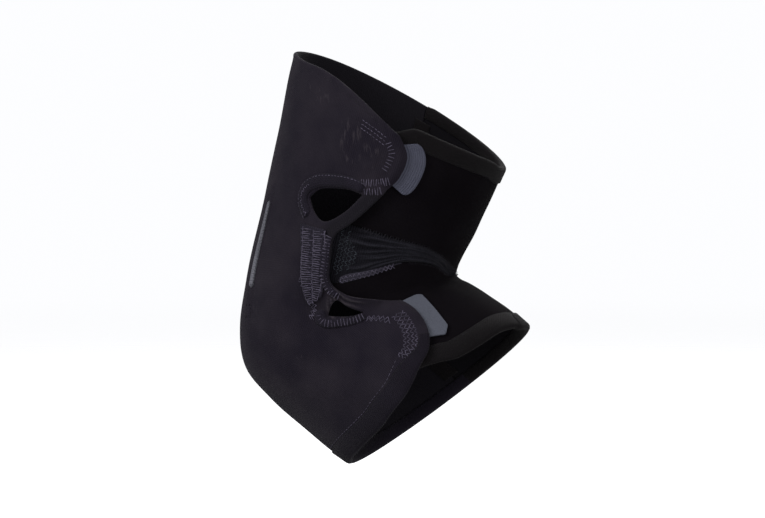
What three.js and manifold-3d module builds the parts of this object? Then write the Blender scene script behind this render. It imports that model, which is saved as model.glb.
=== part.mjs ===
// Elbow brace: a soft wrap for a right arm, in the bent form that it has when worn.
// An outer shell covers the back of the elbow and wraps round to the front, where its two flaps
// close with hook tabs. Under the flaps lie two front panels and, between them, a gathered
// stretch gusset in the crook. Two eye-shaped windows keep cloth from bunching at the side.
//
// Millimetres, +Z up. The origin is the elbow's centre, on the arm's centreline. +X points to the
// front of the arm (the crook), -Y to the outer side with the windows and tabs.
//
// Every piece is cut flat in a pattern and then laid on the arm. A pattern point has two numbers:
//   along   share of the arm's covered length, 0 at the top hem and 1 at the bottom hem
//   around  degrees round the arm: 0 at the crook, 90 at the outer side, 180 at the back
import * as THREE from 'three';
import { mergeVertices } from 'three/addons/utils/BufferGeometryUtils.js';
import { TessellateModifier } from 'three/addons/modifiers/TessellateModifier.js';
import Module from 'manifold-3d';

// The arm that the brace fits
const UPPER_LENGTH = 110; // elbow centre to the middle of the top hem
const FORE_LENGTH = 64; // elbow centre to the middle of the bottom hem
const UPPER_LEAN = 15; // degrees that the upper arm leans forward from upright
const FORE_DROP = 39.5; // degrees that the forearm drops below level
const ARM_DEPTH = 121.5; // crook side to back, at the top hem
const ARM_WIDTH = 95.5; // inner side to outer side, at the top hem
const TOP_TILT = 29.5; // degrees that the top hem drops towards the front
const BOTTOM_TILT = -37.7; // the same for the bottom hem, which rises towards the front

// Cloth
const WALL = 2.2; // laminated knit of the shell and the front panels
const GUSSET_WALL = 1.8; // thin stretch knit
const GATHER_HEIGHT = 1.5; // how far the highest gather of the gusset stands out
const TAB_WALL = 1.4; // moulded hook tab
const PAD_WALL = 1.4; // stitched pad that joins the straps
const BINDING_WALL = 1.0; // tape round a window
const HEM_WALL = 0.8; // turned edge along a hem
const LAYER_GAP = 0.5; // clearance between cloth that lies on cloth
const TRIM_GAP = 0.8; // clearance between the shell and the trims on it
const SEAM_GAP = 0.6; // clearance between two edges that meet at a seam

// Trims
const HEM_WIDTH = 10;
const BINDING_WIDTH = 6;
const TRIM_INSET = 0.8; // from a cloth's edge to the trim that follows it
const TAB_REACH = 11.5; // how far a hook tab shows past its flap
const TAB_OVERLAP = 5; // how far it is sewn in under the flap
const STAY_WIDTH = 3.2; // piped edge of the stay pocket on the back
const STAY_LENGTH = 31;
const STAY_WALL = 1.1;

// Mesh density
const CELL = 7.5; // side of the shell's square cells
const FRONT_COLUMNS = 26; // the same in every front piece, so that their seams match
const PANEL_ROWS = { upper: 10, gusset: 18, lower: 12 };
const TAB_GRID = { columns: 4, rows: 14 };
const PAD_GRID = { columns: 5, rows: 18 };
const STAY_GRID = { columns: 3, rows: 9 };
const HEM_GRID = { shell: 36, front: 24, rows: 2 };
const BINDING_GRID = { upper: 20, lower: 14, rows: 3 };

// Sections of the arm. along is a share of that part's length, measured from the elbow; turn is
// how far the section has turned from the top hem's tilt to the bottom hem's; back and front are
// shares of ARM_DEPTH, and side is a share of half of ARM_WIDTH.
const SECTIONS = [
  { part: 'upper', along: 1.0, turn: 0.0, back: 0.5, front: 0.5, side: 1.0 },
  { part: 'upper', along: 0.78, turn: 0.06, back: 0.483, front: 0.462, side: 1.0 },
  { part: 'upper', along: 0.55, turn: 0.16, back: 0.46, front: 0.426, side: 0.98 },
  { part: 'upper', along: 0.36, turn: 0.3, back: 0.456, front: 0.402, side: 0.94 },
  { part: 'upper', along: 0.19, turn: 0.49, back: 0.472, front: 0.413, side: 0.9 },
  { part: 'upper', along: 0.06, turn: 0.65, back: 0.48, front: 0.46, side: 0.87 },
  { part: 'fore', along: 0.12, turn: 0.78, back: 0.516, front: 0.475, side: 0.86 },
  { part: 'fore', along: 0.31, turn: 0.88, back: 0.515, front: 0.465, side: 0.88 },
  { part: 'fore', along: 0.55, turn: 0.95, back: 0.497, front: 0.468, side: 0.92 },
  { part: 'fore', along: 0.79, turn: 0.99, back: 0.485, front: 0.475, side: 0.94 },
  { part: 'fore', along: 1.0, turn: 1.0, back: 0.469, front: 0.475, side: 0.95 },
];

// The shell's sheet before it is trimmed: its first degree, and the share of the length that it
// has to spare at each hem
const SHEET = { from: 48, spare: 0.05 };

// Lines of the pattern, each a row of points
const SHELL_TOP = [
  { around: 72.5, along: 0.009 },
  { around: 86, along: -0.016 },
  { around: 101, along: -0.034 },
  { around: 121, along: -0.034 },
  { around: 145, along: -0.012 },
  { around: 180, along: 0 },
  { around: 225, along: 0 },
  { around: 275, along: 0 },
];
const SHELL_BOTTOM = [
  { around: 72.5, along: 0.928 },
  { around: 85.5, along: 0.966 },
  { around: 100.5, along: 0.985 },
  { around: 120, along: 1.0 },
  { around: 180, along: 1.0 },
  { around: 225, along: 1.0 },
  { around: 275, along: 1.0 },
];
const UPPER_FLAP_END = [
  { around: 72.5, along: 0.009 },
  { around: 67, along: 0.05 },
  { around: 66, along: 0.09 },
  { around: 67.5, along: 0.14 },
  { around: 71, along: 0.18 },
];
const LOWER_FLAP_END = [
  { around: 52, along: 0.684 },
  { around: 51.5, along: 0.77 },
  { around: 55.5, along: 0.848 },
  { around: 63.5, along: 0.905 },
  { around: 72.5, along: 0.928 },
];
// The shell's edge between the flaps: strap, pad, strap
const STRAP_EDGE = [
  { around: 71, along: 0.18 },
  { around: 73, along: 0.21 },
  { around: 79, along: 0.275 },
  { around: 85, along: 0.325 },
  { around: 91.5, along: 0.37 },
  { around: 91, along: 0.44 },
  { around: 89, along: 0.505 },
  { around: 79, along: 0.55 },
  { around: 64, along: 0.6 },
  { around: 52, along: 0.684 },
];
// Edges of the two windows; the first and last points are their corners
const UPPER_WINDOW_TOP = [
  { around: 82.5, along: 0.227 },
  { around: 89, along: 0.228 },
  { around: 97, along: 0.241 },
  { around: 107, along: 0.264 },
  { around: 112.5, along: 0.296 },
];
const UPPER_WINDOW_BOTTOM = [
  { around: 112.5, along: 0.296 },
  { around: 107.5, along: 0.325 },
  { around: 98.5, along: 0.339 },
  { around: 89, along: 0.29 },
  { around: 82.5, along: 0.227 },
];
const LOWER_WINDOW_TOP = [
  { around: 71, along: 0.658 },
  { around: 77, along: 0.61 },
  { around: 83, along: 0.572 },
  { around: 88.5, along: 0.624 },
];
const LOWER_WINDOW_BOTTOM = [
  { around: 88.5, along: 0.624 },
  { around: 81, along: 0.645 },
  { around: 76, along: 0.656 },
  { around: 71, along: 0.658 },
];
// Edges of the front panels and the gusset, from the inner seam to the outer side
const INNER_SEAM = -90;
const FRONT_TOP = [
  { around: INNER_SEAM, along: 0 },
  { around: -30, along: 0 },
  { around: 0, along: -0.01 },
  { around: 15, along: -0.03 },
  { around: 33, along: -0.036 },
  { around: 52, along: -0.034 },
  { around: 65, along: -0.028 },
  { around: 70, along: -0.01 },
  { around: 76, along: 0.015 },
  { around: 88, along: 0.02 },
];
const GUSSET_TOP = [
  { around: INNER_SEAM, along: 0.48 },
  { around: -15, along: 0.5 },
  { around: 3, along: 0.46 },
  { around: 18, along: 0.395 },
  { around: 37.5, along: 0.345 },
  { around: 63, along: 0.333 },
  { around: 84, along: 0.328 },
  { around: 91, along: 0.335 },
];
const GUSSET_BOTTOM = [
  { around: INNER_SEAM, along: 0.62 },
  { around: -15, along: 0.62 },
  { around: 3, along: 0.57 },
  { around: 15, along: 0.49 },
  { around: 29, along: 0.43 },
  { around: 51.5, along: 0.431 },
  { around: 74, along: 0.503 },
  { around: 90.5, along: 0.52 },
];
const FRONT_BOTTOM = [
  { around: INNER_SEAM, along: 1.0 },
  { around: -5, along: 1.0 },
  { around: 10, along: 0.985 },
  { around: 23, along: 0.975 },
  { around: 40, along: 0.976 },
  { around: 55, along: 0.97 },
  { around: 65, along: 0.945 },
  { around: 75, along: 0.925 },
  { around: 86, along: 0.92 },
];
// The outer edge of the front panels and the gusset, which the shell covers
const FREE_EDGE = [
  { around: 88, along: 0.02 },
  { around: 88, along: 0.1 },
  { around: 84, along: 0.18 },
  { around: 79, along: 0.227 },
  { around: 79.5, along: 0.25 },
  { around: 83, along: 0.285 },
  { around: 91, along: 0.335 },
  { around: 95, along: 0.38 },
  { around: 94, along: 0.45 },
  { around: 90.5, along: 0.52 },
  { around: 83, along: 0.555 },
  { around: 71.5, along: 0.6 },
  { around: 64, along: 0.65 },
  { around: 65, along: 0.69 },
  { around: 73, along: 0.74 },
  { around: 80, along: 0.8 },
  { around: 84, along: 0.87 },
  { around: 86, along: 0.92 },
];
// The stitched pad between the windows, from its top edge to the tail at the lower window
const PAD_OUTER = [
  { around: 113, along: 0.365 },
  { around: 108, along: 0.44 },
  { around: 105, along: 0.5 },
  { around: 100.5, along: 0.555 },
  { around: 97, along: 0.578 },
];
const PAD_INNER = [
  { around: 97, along: 0.358 },
  { around: 93.5, along: 0.43 },
  { around: 92, along: 0.5 },
  { around: 91.2, along: 0.53 },
  { around: 91, along: 0.552 },
];
// Gathers of the gusset: across is a share of its width, height a share of GATHER_HEIGHT
const GATHERS = [
  { across: 0.15, height: 0.65, spread: 0.06 },
  { across: 0.31, height: 0.85, spread: 0.06 },
  { across: 0.47, height: 0.6, spread: 0.06 },
  { across: 0.64, height: 0.9, spread: 0.06 },
  { across: 0.82, height: 1.0, spread: 0.07 },
];
const STAY_TOP = { around: 144.5, along: 0.345 };

// How the shell rises over the front panels, in degrees round the arm from their outer edge
const RISE_END = 5;
const RISE_RUN = 20;
const TAB_RISE_END = -8;
const TAB_RISE_RUN = 14;

const ARM_LENGTH = UPPER_LENGTH + FORE_LENGTH;
const DEGREE = (Math.PI * (ARM_DEPTH + ARM_WIDTH)) / 2 / 360; // pattern millimetres per degree
const LAYER = WALL + LAYER_GAP; // height of cloth that lies on the front panels
const TAB_LAYER = TAB_WALL + LAYER_GAP; // further height of a flap over its tab

const wasm = await Module();
wasm.setup();
const radians = THREE.MathUtils.degToRad;
const smoothstep = (x) => THREE.MathUtils.smoothstep(x, 0, 1);

// The value of one column at a place, smoothly between the rows of a table
function smooth(rows, place, column, at) {
  let i = rows.findIndex((row) => row[place] > at) - 1;
  if (i === -1) i = 0;
  if (i < 0) i = rows.length - 2;
  const slope = (j) => {
    const a = rows[Math.max(j - 1, 0)];
    const b = rows[Math.min(j + 1, rows.length - 1)];
    return (b[column] - a[column]) / (b[place] - a[place]);
  };
  const step = rows[i + 1][place] - rows[i][place];
  const t = (at - rows[i][place]) / step;
  if (t < 0) return rows[i][column] + slope(i) * t * step;
  if (t > 1) return rows[i + 1][column] + slope(i + 1) * (t - 1) * step;
  const t2 = t * t;
  const t3 = t2 * t;
  return (
    (2 * t3 - 3 * t2 + 1) * rows[i][column] +
    (t3 - 2 * t2 + t) * step * slope(i) +
    (3 * t2 - 2 * t3) * rows[i + 1][column] +
    (t3 - t2) * step * slope(i + 1)
  );
}

// The arm's sections in millimetres, in order from the top hem
const RINGS = SECTIONS.map((row) => {
  const upper = row.part === 'upper';
  const reach = row.along * (upper ? UPPER_LENGTH : FORE_LENGTH);
  const angle = upper ? radians(90 - UPPER_LEAN) : radians(-FORE_DROP);
  return {
    at: upper ? UPPER_LENGTH - reach : UPPER_LENGTH + reach,
    x: reach * Math.cos(angle),
    z: reach * Math.sin(angle),
    tilt: radians(TOP_TILT + (BOTTOM_TILT - TOP_TILT) * row.turn),
    back: ARM_DEPTH * row.back,
    front: ARM_DEPTH * row.front,
    side: (ARM_WIDTH / 2) * row.side,
  };
});

// A point of the arm's skin; x is around and y is along, both in pattern millimetres
function skin(x, y) {
  const angle = radians(x / DEGREE);
  const ring = (column) => smooth(RINGS, 'at', column, y);
  const depth = Math.cos(angle) * (Math.cos(angle) > 0 ? ring('front') : ring('back'));
  return new THREE.Vector3(
    ring('x') + depth * Math.cos(ring('tilt')),
    -ring('side') * Math.sin(angle),
    ring('z') - depth * Math.sin(ring('tilt')),
  );
}

// A point at a height over the skin
function laid(x, y, height) {
  const step = 0.2;
  const du = skin(x + step, y).sub(skin(x - step, y));
  const dv = skin(x, y + step).sub(skin(x, y - step));
  return skin(x, y).addScaledVector(du.cross(dv).normalize(), height);
}

// How far the shell is lifted by what lies under it
function lift(x, y) {
  const past = x / DEGREE - smooth(FREE_EDGE, 'along', 'around', y / ARM_LENGTH);
  return (
    LAYER * smoothstep((RISE_END + RISE_RUN - past) / RISE_RUN) +
    TAB_LAYER * smoothstep((TAB_RISE_END + TAB_RISE_RUN - past) / TAB_RISE_RUN)
  );
}

// A row of a table as a point of the pattern, in millimetres
function point(row) {
  return new THREE.Vector2(row.around * DEGREE, row.along * ARM_LENGTH);
}

function line(rows) {
  return new THREE.SplineCurve(rows.map(point));
}

// Bends a flat slab, whose z runs from 0 to 1 through the cloth, onto the arm
function wrap(slab, toPattern, inner, outer) {
  slab.deleteAttribute('normal');
  slab.deleteAttribute('uv');
  const cut = mergeVertices(slab, 1e-3);
  const flat = cut.getAttribute('position');
  for (let i = 0; i < flat.count; i++) {
    const { x, y } = toPattern(flat.getX(i), flat.getY(i));
    const low = inner(x, y);
    const height = low + (outer(x, y) - low) * flat.getZ(i);
    const place = laid(x, y, height);
    flat.setXYZ(i, place.x, place.y, place.z);
  }
  cut.computeVertexNormals();
  return cut;
}

// A piece with four sides, each a function from 0 to 1 to a pattern point. near and far run
// round the arm, start and end run along it and join their ends.
function patch({ near, far, start, end }, columns, rows, inner, outer) {
  const slab = new THREE.BoxGeometry(1, 1, 1, columns, rows, 1).translate(0.5, 0.5, 0.5);
  const corner = [near(0), near(1), far(0), far(1)];
  const blend = (a, b, t) => a.clone().lerp(b, t);
  const toPattern = (k, m) => {
    const ruled = blend(near(k), far(k), m).add(blend(start(m), end(m), k));
    return ruled.sub(blend(blend(corner[0], corner[1], k), blend(corner[2], corner[3], k), m));
  };
  return wrap(slab, toPattern, inner, outer);
}

// The part of a curve between two shares of its length, moved sideways by a distance
function run(curve, from, to, aside = 0) {
  return (t) => {
    const at = from + (to - from) * t;
    const along = curve.getTangentAt(at);
    return curve.getPointAt(at).add(new THREE.Vector2(-along.y, along.x).multiplyScalar(aside));
  };
}

function straight(from, to) {
  return (t) => from.clone().lerp(to, t);
}

// Heights over the skin
const onSkin = () => 0;
const over = (base, thickness) => (x, y) => base(x, y) + thickness;
const shellTop = over(lift, WALL);
const onShell = over(shellTop, TRIM_GAP);
const onFront = () => LAYER;
const hemInside = [TRIM_INSET, TRIM_INSET + HEM_WIDTH];
const hemOutside = [-TRIM_INSET - HEM_WIDTH, -TRIM_INSET];
const bindingOutside = [-TRIM_INSET - BINDING_WIDTH, -TRIM_INSET];

const COLOURS = {
  knit: 0x1c1a20,
  smooth: 0x0e0d10,
  stretch: 0x1d1d24,
  tab: 0x4b4e5c,
  pad: 0x25222b,
  piping: 0x8d8d95,
};
function cloth(colour, roughness) {
  return new THREE.MeshStandardMaterial({ color: colour, roughness, metalness: 0 });
}

function piece(name, geometry, material) {
  const mesh = new THREE.Mesh(geometry, material);
  mesh.name = name;
  return mesh;
}

// A closed geometry as a solid that can be cut
function solidOf(geometry) {
  const vertProperties = geometry.getAttribute('position').array;
  const triVerts = new Uint32Array(geometry.index.array);
  return new wasm.Manifold(new wasm.Mesh({ numProp: 3, vertProperties, triVerts }));
}

function geometryOf(solid) {
  const { vertProperties, triVerts } = solid.getMesh();
  const geometry = new THREE.BufferGeometry();
  geometry.setAttribute('position', new THREE.BufferAttribute(vertProperties, 3));
  geometry.setIndex(new THREE.BufferAttribute(triVerts, 1));
  geometry.computeVertexNormals();
  return geometry;
}

// The shell's outline with its two windows, as a flat shape of the pattern
function shellShape() {
  const edge = [UPPER_FLAP_END, STRAP_EDGE, LOWER_FLAP_END].flatMap((rows) => line(rows).getPoints(10));
  const bottom = line(SHELL_BOTTOM).getPoints(20);
  const top = line(SHELL_TOP).getPoints(20).reverse();
  const shape = new THREE.Shape(loop([...edge, ...bottom, ...top]));
  const upper = [UPPER_WINDOW_TOP, UPPER_WINDOW_BOTTOM];
  const lower = [LOWER_WINDOW_TOP, LOWER_WINDOW_BOTTOM];
  shape.holes = [upper, lower].map(
    (sides) => new THREE.Path(loop(sides.flatMap((rows) => line(rows).getPoints(8)))),
  );
  return shape;
}

// A closed row of points without those that repeat the one before
function loop(points) {
  return points.filter((place, i) => place.distanceTo(points.at(i - 1)) > 1e-3);
}

// The shell: a sheet laid round the arm, trimmed to its outline and windows
function shell() {
  const flat = new THREE.ExtrudeGeometry(shellShape(), { depth: 1, bevelEnabled: false });
  const fine = new TessellateModifier(CELL, 40).modify(flat);
  const cutter = wrap(fine, (x, y) => ({ x, y }), over(lift, -WALL), over(shellTop, WALL));
  const seam = (INNER_SEAM + 360) * DEGREE - SEAM_GAP / 2;
  const spare = SHEET.spare * ARM_LENGTH;
  const from = new THREE.Vector2(SHEET.from * DEGREE, -spare);
  const to = new THREE.Vector2(seam, ARM_LENGTH + spare);
  const topSeam = new THREE.Vector2(to.x, from.y);
  const lowEdge = new THREE.Vector2(from.x, to.y);
  const sides = {
    near: straight(from, topSeam),
    far: straight(lowEdge, to),
    start: straight(from, lowEdge),
    end: straight(topSeam, to),
  };
  const columns = Math.round((to.x - from.x) / CELL);
  const rows = Math.round((to.y - from.y) / CELL);
  const sheet = patch(sides, columns, rows, lift, shellTop);
  return geometryOf(solidOf(sheet).intersect(solidOf(cutter)));
}

// A front piece, between two lines of the pattern
function front(nearRows, farRows, rows, thickness) {
  const near = line(nearRows);
  const far = line(farRows);
  const free = line(FREE_EDGE);
  const seam = straight(near.getPoint(0), far.getPoint(0));
  const edge = run(free, nearest(free, near.getPoint(1)), nearest(free, far.getPoint(1)));
  const sides = {
    near: (t) => drawnIn(run(near, 0, 1)(t), 1 - t, 1),
    far: (t) => drawnIn(run(far, 0, 1)(t), 1 - t, -1),
    start: (t) => drawnIn(seam(t), 1, 1 - 2 * t),
    end: (t) => drawnIn(edge(t), 0, 1 - 2 * t),
  };
  return patch(sides, FRONT_COLUMNS, rows, onSkin, thickness);
}

// A point of a seam, moved back by half of the seam's gap, measured on the arm
function drawnIn(place, around, along) {
  const perMillimetre = skin(place.x, place.y - 0.5).distanceTo(skin(place.x, place.y + 0.5));
  const back = new THREE.Vector2(around, along / perMillimetre).multiplyScalar(SEAM_GAP / 2);
  return place.add(back);
}

// The share of a curve at which it comes nearest to a point
function nearest(curve, place) {
  const steps = 1000;
  let best = 0;
  for (let i = 0; i <= steps; i++) {
    const here = curve.getPointAt(i / steps).distanceTo(place);
    if (here < curve.getPointAt(best).distanceTo(place)) best = i / steps;
  }
  return best;
}

// Height of the gathered gusset: ridges that fade out towards the pad and past the crook
function gathered(x, y) {
  const degrees = x / DEGREE;
  const top = smooth(GUSSET_TOP, 'around', 'along', degrees) * ARM_LENGTH;
  const bottom = smooth(GUSSET_BOTTOM, 'around', 'along', degrees) * ARM_LENGTH;
  const across = (y - top) / (bottom - top);
  const fade = smoothstep((80 - degrees) / 22) * smoothstep((degrees + 70) / 100);
  const ridges = GATHERS.map(
    (row) => row.height * Math.exp(-(((across - row.across) / row.spread) ** 2)),
  );
  return GUSSET_WALL + GATHER_HEIGHT * fade * Math.max(...ridges);
}

// A hook tab, sewn under the end of a flap and reaching past it with round corners
function tab(flapEnd, from, to) {
  const end = line(flapEnd);
  const blunt = (t) => (1 - Math.abs(2 * t - 1) ** 5) ** 0.2;
  const outward = (t) => run(end, from, to, TAB_REACH * blunt(t))(t);
  const inward = run(end, from, to, -TAB_OVERLAP);
  const sides = {
    near: straight(outward(0), inward(0)),
    far: straight(outward(1), inward(1)),
    start: outward,
    end: inward,
  };
  return patch(sides, TAB_GRID.columns, TAB_GRID.rows, onFront, over(onFront, TAB_WALL));
}

// A tape along a curve, between two distances to the side of it
function tape(curve, [from, to], [low, high], columns, rows, base, thickness) {
  const near = run(curve, from, to, low);
  const far = run(curve, from, to, high);
  const sides = {
    near,
    far,
    start: straight(near(0), far(0)),
    end: straight(near(1), far(1)),
  };
  return patch(sides, columns, rows, base, over(base, thickness));
}

// The strap pad between the windows
function pad() {
  const outer = line(PAD_OUTER);
  const inner = line(PAD_INNER);
  const sides = {
    near: straight(inner.getPoint(0), outer.getPoint(0)),
    far: straight(inner.getPoint(1), outer.getPoint(1)),
    start: run(inner, 0, 1),
    end: run(outer, 0, 1),
  };
  return patch(sides, PAD_GRID.columns, PAD_GRID.rows, onShell, over(onShell, PAD_WALL));
}

// The piped edge of the stay pocket, on the back
function stay() {
  const top = point(STAY_TOP);
  const low = top.clone().add(new THREE.Vector2(0, STAY_LENGTH));
  const half = new THREE.Vector2(STAY_WIDTH / 2, 0);
  const sides = {
    near: straight(top.clone().sub(half), top.clone().add(half)),
    far: straight(low.clone().sub(half), low.clone().add(half)),
    start: straight(top.clone().sub(half), low.clone().sub(half)),
    end: straight(top.clone().add(half), low.clone().add(half)),
  };
  return patch(sides, STAY_GRID.columns, STAY_GRID.rows, onShell, over(onShell, STAY_WALL));
}

const knit = cloth(COLOURS.knit, 0.9);
const smoothKnit = cloth(COLOURS.smooth, 0.8);
const stretch = cloth(COLOURS.stretch, 0.85);
const hook = cloth(COLOURS.tab, 0.7);
const stitched = cloth(COLOURS.pad, 0.9);

const piping = cloth(COLOURS.piping, 0.8);

const panel = () => WALL;
const upperRim = line([...UPPER_WINDOW_TOP, ...UPPER_WINDOW_BOTTOM.slice(1, 2)]);
const lowerRim = line([...LOWER_WINDOW_TOP.slice(2), ...LOWER_WINDOW_BOTTOM.slice(1)]);

// The part of each trim's line that the trim follows, as shares of the line's length
const FOLLOWED = {
  upperRim: [0, 1],
  lowerRim: [0.25, 1],
  shellBottom: [0.01, 0.972],
  frontTop: [0.003, 0.8],
  frontBottom: [0.003, 0.77],
};

function binding(rim, followed, columns) {
  return tape(rim, followed, bindingOutside, columns, BINDING_GRID.rows, onShell, BINDING_WALL);
}

function hem(rows, followed, side, columns, base) {
  return tape(line(rows), followed, side, columns, HEM_GRID.rows, base, HEM_WALL);
}

const shellHem = hem(SHELL_BOTTOM, FOLLOWED.shellBottom, hemOutside, HEM_GRID.shell, onShell);
const topHem = hem(FRONT_TOP, FOLLOWED.frontTop, hemInside, HEM_GRID.front, onFront);
const bottomHem = hem(FRONT_BOTTOM, FOLLOWED.frontBottom, hemOutside, HEM_GRID.front, onFront);

const brace = new THREE.Group();
brace.name = 'elbow_brace';
brace.add(
  piece('outer_shell', shell(), knit),
  piece('upper_front_panel', front(FRONT_TOP, GUSSET_TOP, PANEL_ROWS.upper, panel), smoothKnit),
  piece('crook_gusset', front(GUSSET_TOP, GUSSET_BOTTOM, PANEL_ROWS.gusset, gathered), stretch),
  piece('lower_front_panel', front(GUSSET_BOTTOM, FRONT_BOTTOM, PANEL_ROWS.lower, panel), smoothKnit),
  piece('strap_pad', pad(), stitched),
  piece('upper_hook_tab', tab(UPPER_FLAP_END, 0.12, 0.92), hook),
  piece('lower_hook_tab', tab(LOWER_FLAP_END, 0.01, 0.7), hook),
  piece('upper_window_binding', binding(upperRim, FOLLOWED.upperRim, BINDING_GRID.upper), stitched),
  piece('lower_window_binding', binding(lowerRim, FOLLOWED.lowerRim, BINDING_GRID.lower), stitched),
  piece('shell_bottom_hem', shellHem, knit),
  piece('front_top_hem', topHem, smoothKnit),
  piece('front_bottom_hem', bottomHem, smoothKnit),
  piece('stay_piping', stay(), piping),
);

export default brace;
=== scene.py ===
# %% [markdown]
# # An elbow brace in Blender
# The brace is a soft wrap for a bent arm. Its cloth is cut flat, laid round the arm and sewn, so
# this script works the same way: it draws each piece on a flat pattern, wraps the pattern round
# the arm, and then sews with thread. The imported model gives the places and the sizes, and stays
# underneath as the frame that the cloth pieces replace.

# %% Load the frame
import math

import bmesh
import bpy
import numpy as np
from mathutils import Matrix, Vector
from mathutils.geometry import delaunay_2d_cdt


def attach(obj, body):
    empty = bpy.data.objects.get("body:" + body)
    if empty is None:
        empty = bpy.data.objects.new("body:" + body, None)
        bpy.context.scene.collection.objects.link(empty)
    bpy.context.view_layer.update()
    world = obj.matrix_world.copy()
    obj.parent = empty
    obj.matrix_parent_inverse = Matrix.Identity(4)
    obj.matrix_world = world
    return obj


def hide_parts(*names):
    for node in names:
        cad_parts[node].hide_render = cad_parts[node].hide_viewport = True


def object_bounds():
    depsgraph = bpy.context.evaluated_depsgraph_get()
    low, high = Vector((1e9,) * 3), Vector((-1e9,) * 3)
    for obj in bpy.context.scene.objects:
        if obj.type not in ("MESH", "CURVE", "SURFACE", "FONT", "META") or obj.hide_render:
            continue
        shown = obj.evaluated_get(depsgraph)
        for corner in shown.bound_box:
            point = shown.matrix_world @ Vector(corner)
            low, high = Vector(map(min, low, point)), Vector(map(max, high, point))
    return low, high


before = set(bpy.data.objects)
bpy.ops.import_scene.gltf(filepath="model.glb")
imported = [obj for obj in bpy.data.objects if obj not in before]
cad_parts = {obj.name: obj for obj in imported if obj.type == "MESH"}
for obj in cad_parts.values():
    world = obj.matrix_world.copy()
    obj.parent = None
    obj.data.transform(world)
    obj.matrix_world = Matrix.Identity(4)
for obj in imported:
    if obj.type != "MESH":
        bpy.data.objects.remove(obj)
cad_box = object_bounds()
print("solids:", len(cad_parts))

# %% [markdown]
# ## Camera
# The photograph looks at the outer side of the arm, a little from the front and from above,
# through a long lens. The camera keeps that angle and comes close enough to fill the frame.

# %% Camera
PHOTO_ASPECT = 765 / 518
AZIMUTH = 18  # degrees
ELEVATION = 4
DISTANCE = 2.6  # metres
FILL = 0.8  # share of the frame's height that the brace takes

low, high = (Vector(corner) for corner in cad_box)
middle = (low + high) / 2


def added(name, data):
    """A new object in the scene."""
    made = bpy.data.objects.new(name, data)
    bpy.context.collection.objects.link(made)
    return made


def aim(thing, azimuth, elevation, distance):
    """Puts a camera or a lamp at a distance from the brace, facing its middle."""
    turn, rise = math.radians(azimuth), math.radians(elevation)
    away = Vector((math.sin(turn) * math.cos(rise), -math.cos(turn) * math.cos(rise), math.sin(rise)))
    thing.location = middle + away * distance
    thing.rotation_euler = (-away).to_track_quat("-Z", "Y").to_euler()


view_height = (high.z - low.z) / FILL
camera_data = bpy.data.cameras.new("camera")
camera_data.sensor_width = 36
camera_data.lens = DISTANCE * camera_data.sensor_width / (view_height * PHOTO_ASPECT)
camera = added("camera", camera_data)
aim(camera, AZIMUTH, ELEVATION, DISTANCE)
bpy.context.scene.camera = camera
print("lens:", round(camera_data.lens), "mm")

# %% [markdown]
# ## The arm under the cloth
# Cloth takes the form of what it lies on, so the first thing to describe is the arm: a row of
# slanted rings from the top hem to the bottom hem. A smooth curve through each column of the
# table gives the ring at any place between.

# %% Sizes of the arm and the cloth, in millimetres and degrees
UPPER_LENGTH = 110
FORE_LENGTH = 64
UPPER_LEAN = 15
FORE_DROP = 39.5
ARM_DEPTH = 121.5
ARM_WIDTH = 95.5
TOP_TILT = 29.5
BOTTOM_TILT = -37.7
WALL = 2.2
GUSSET_WALL = 1.8
TAB_WALL = 1.4
PAD_WALL = 1.4
HEM_WALL = 0.8
LAYER_GAP = 0.5
HEM_WIDTH = 10
BINDING_WIDTH = 6
TRIM_INSET = 0.8
TAB_REACH = 11.5
UPPER_TAB_REACH = 9.4
TAB_OVERLAP = 5
STAY_WIDTH = 3.2
STAY_LENGTH = 31

ARM_LENGTH = UPPER_LENGTH + FORE_LENGTH
DEGREE = math.pi * (ARM_DEPTH + ARM_WIDTH) / 2 / 360  # pattern millimetres in a degree round the arm
LAYER = WALL + LAYER_GAP

# part of the arm, share of its length from the elbow, share of the turn, then the ring's half sizes
SECTIONS = [
    ("upper", 1.0, 0.0, 0.5, 0.5, 1.0),
    ("upper", 0.78, 0.06, 0.483, 0.462, 1.0),
    ("upper", 0.55, 0.16, 0.46, 0.426, 0.98),
    ("upper", 0.36, 0.3, 0.456, 0.402, 0.94),
    ("upper", 0.19, 0.49, 0.472, 0.413, 0.9),
    ("upper", 0.06, 0.65, 0.48, 0.46, 0.87),
    ("fore", 0.12, 0.78, 0.516, 0.475, 0.86),
    ("fore", 0.31, 0.88, 0.515, 0.465, 0.88),
    ("fore", 0.55, 0.95, 0.497, 0.468, 0.92),
    ("fore", 0.79, 0.99, 0.485, 0.475, 0.94),
    ("fore", 1.0, 1.0, 0.469, 0.475, 0.95),
]


def ring(part, share, turn, back, front, side):
    """One ring: its place along the arm, centre x and z, tilt, back, front and side."""
    upper = part == "upper"
    reach = share * (UPPER_LENGTH if upper else FORE_LENGTH)
    angle = math.radians(90 - UPPER_LEAN if upper else -FORE_DROP)
    at = UPPER_LENGTH - reach if upper else UPPER_LENGTH + reach
    tilt = math.radians(TOP_TILT + (BOTTOM_TILT - TOP_TILT) * turn)
    centre = (reach * math.cos(angle), reach * math.sin(angle))
    return (at, *centre, tilt, ARM_DEPTH * back, ARM_DEPTH * front, ARM_WIDTH / 2 * side)


RINGS = np.array([ring(*row) for row in SECTIONS])


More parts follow.
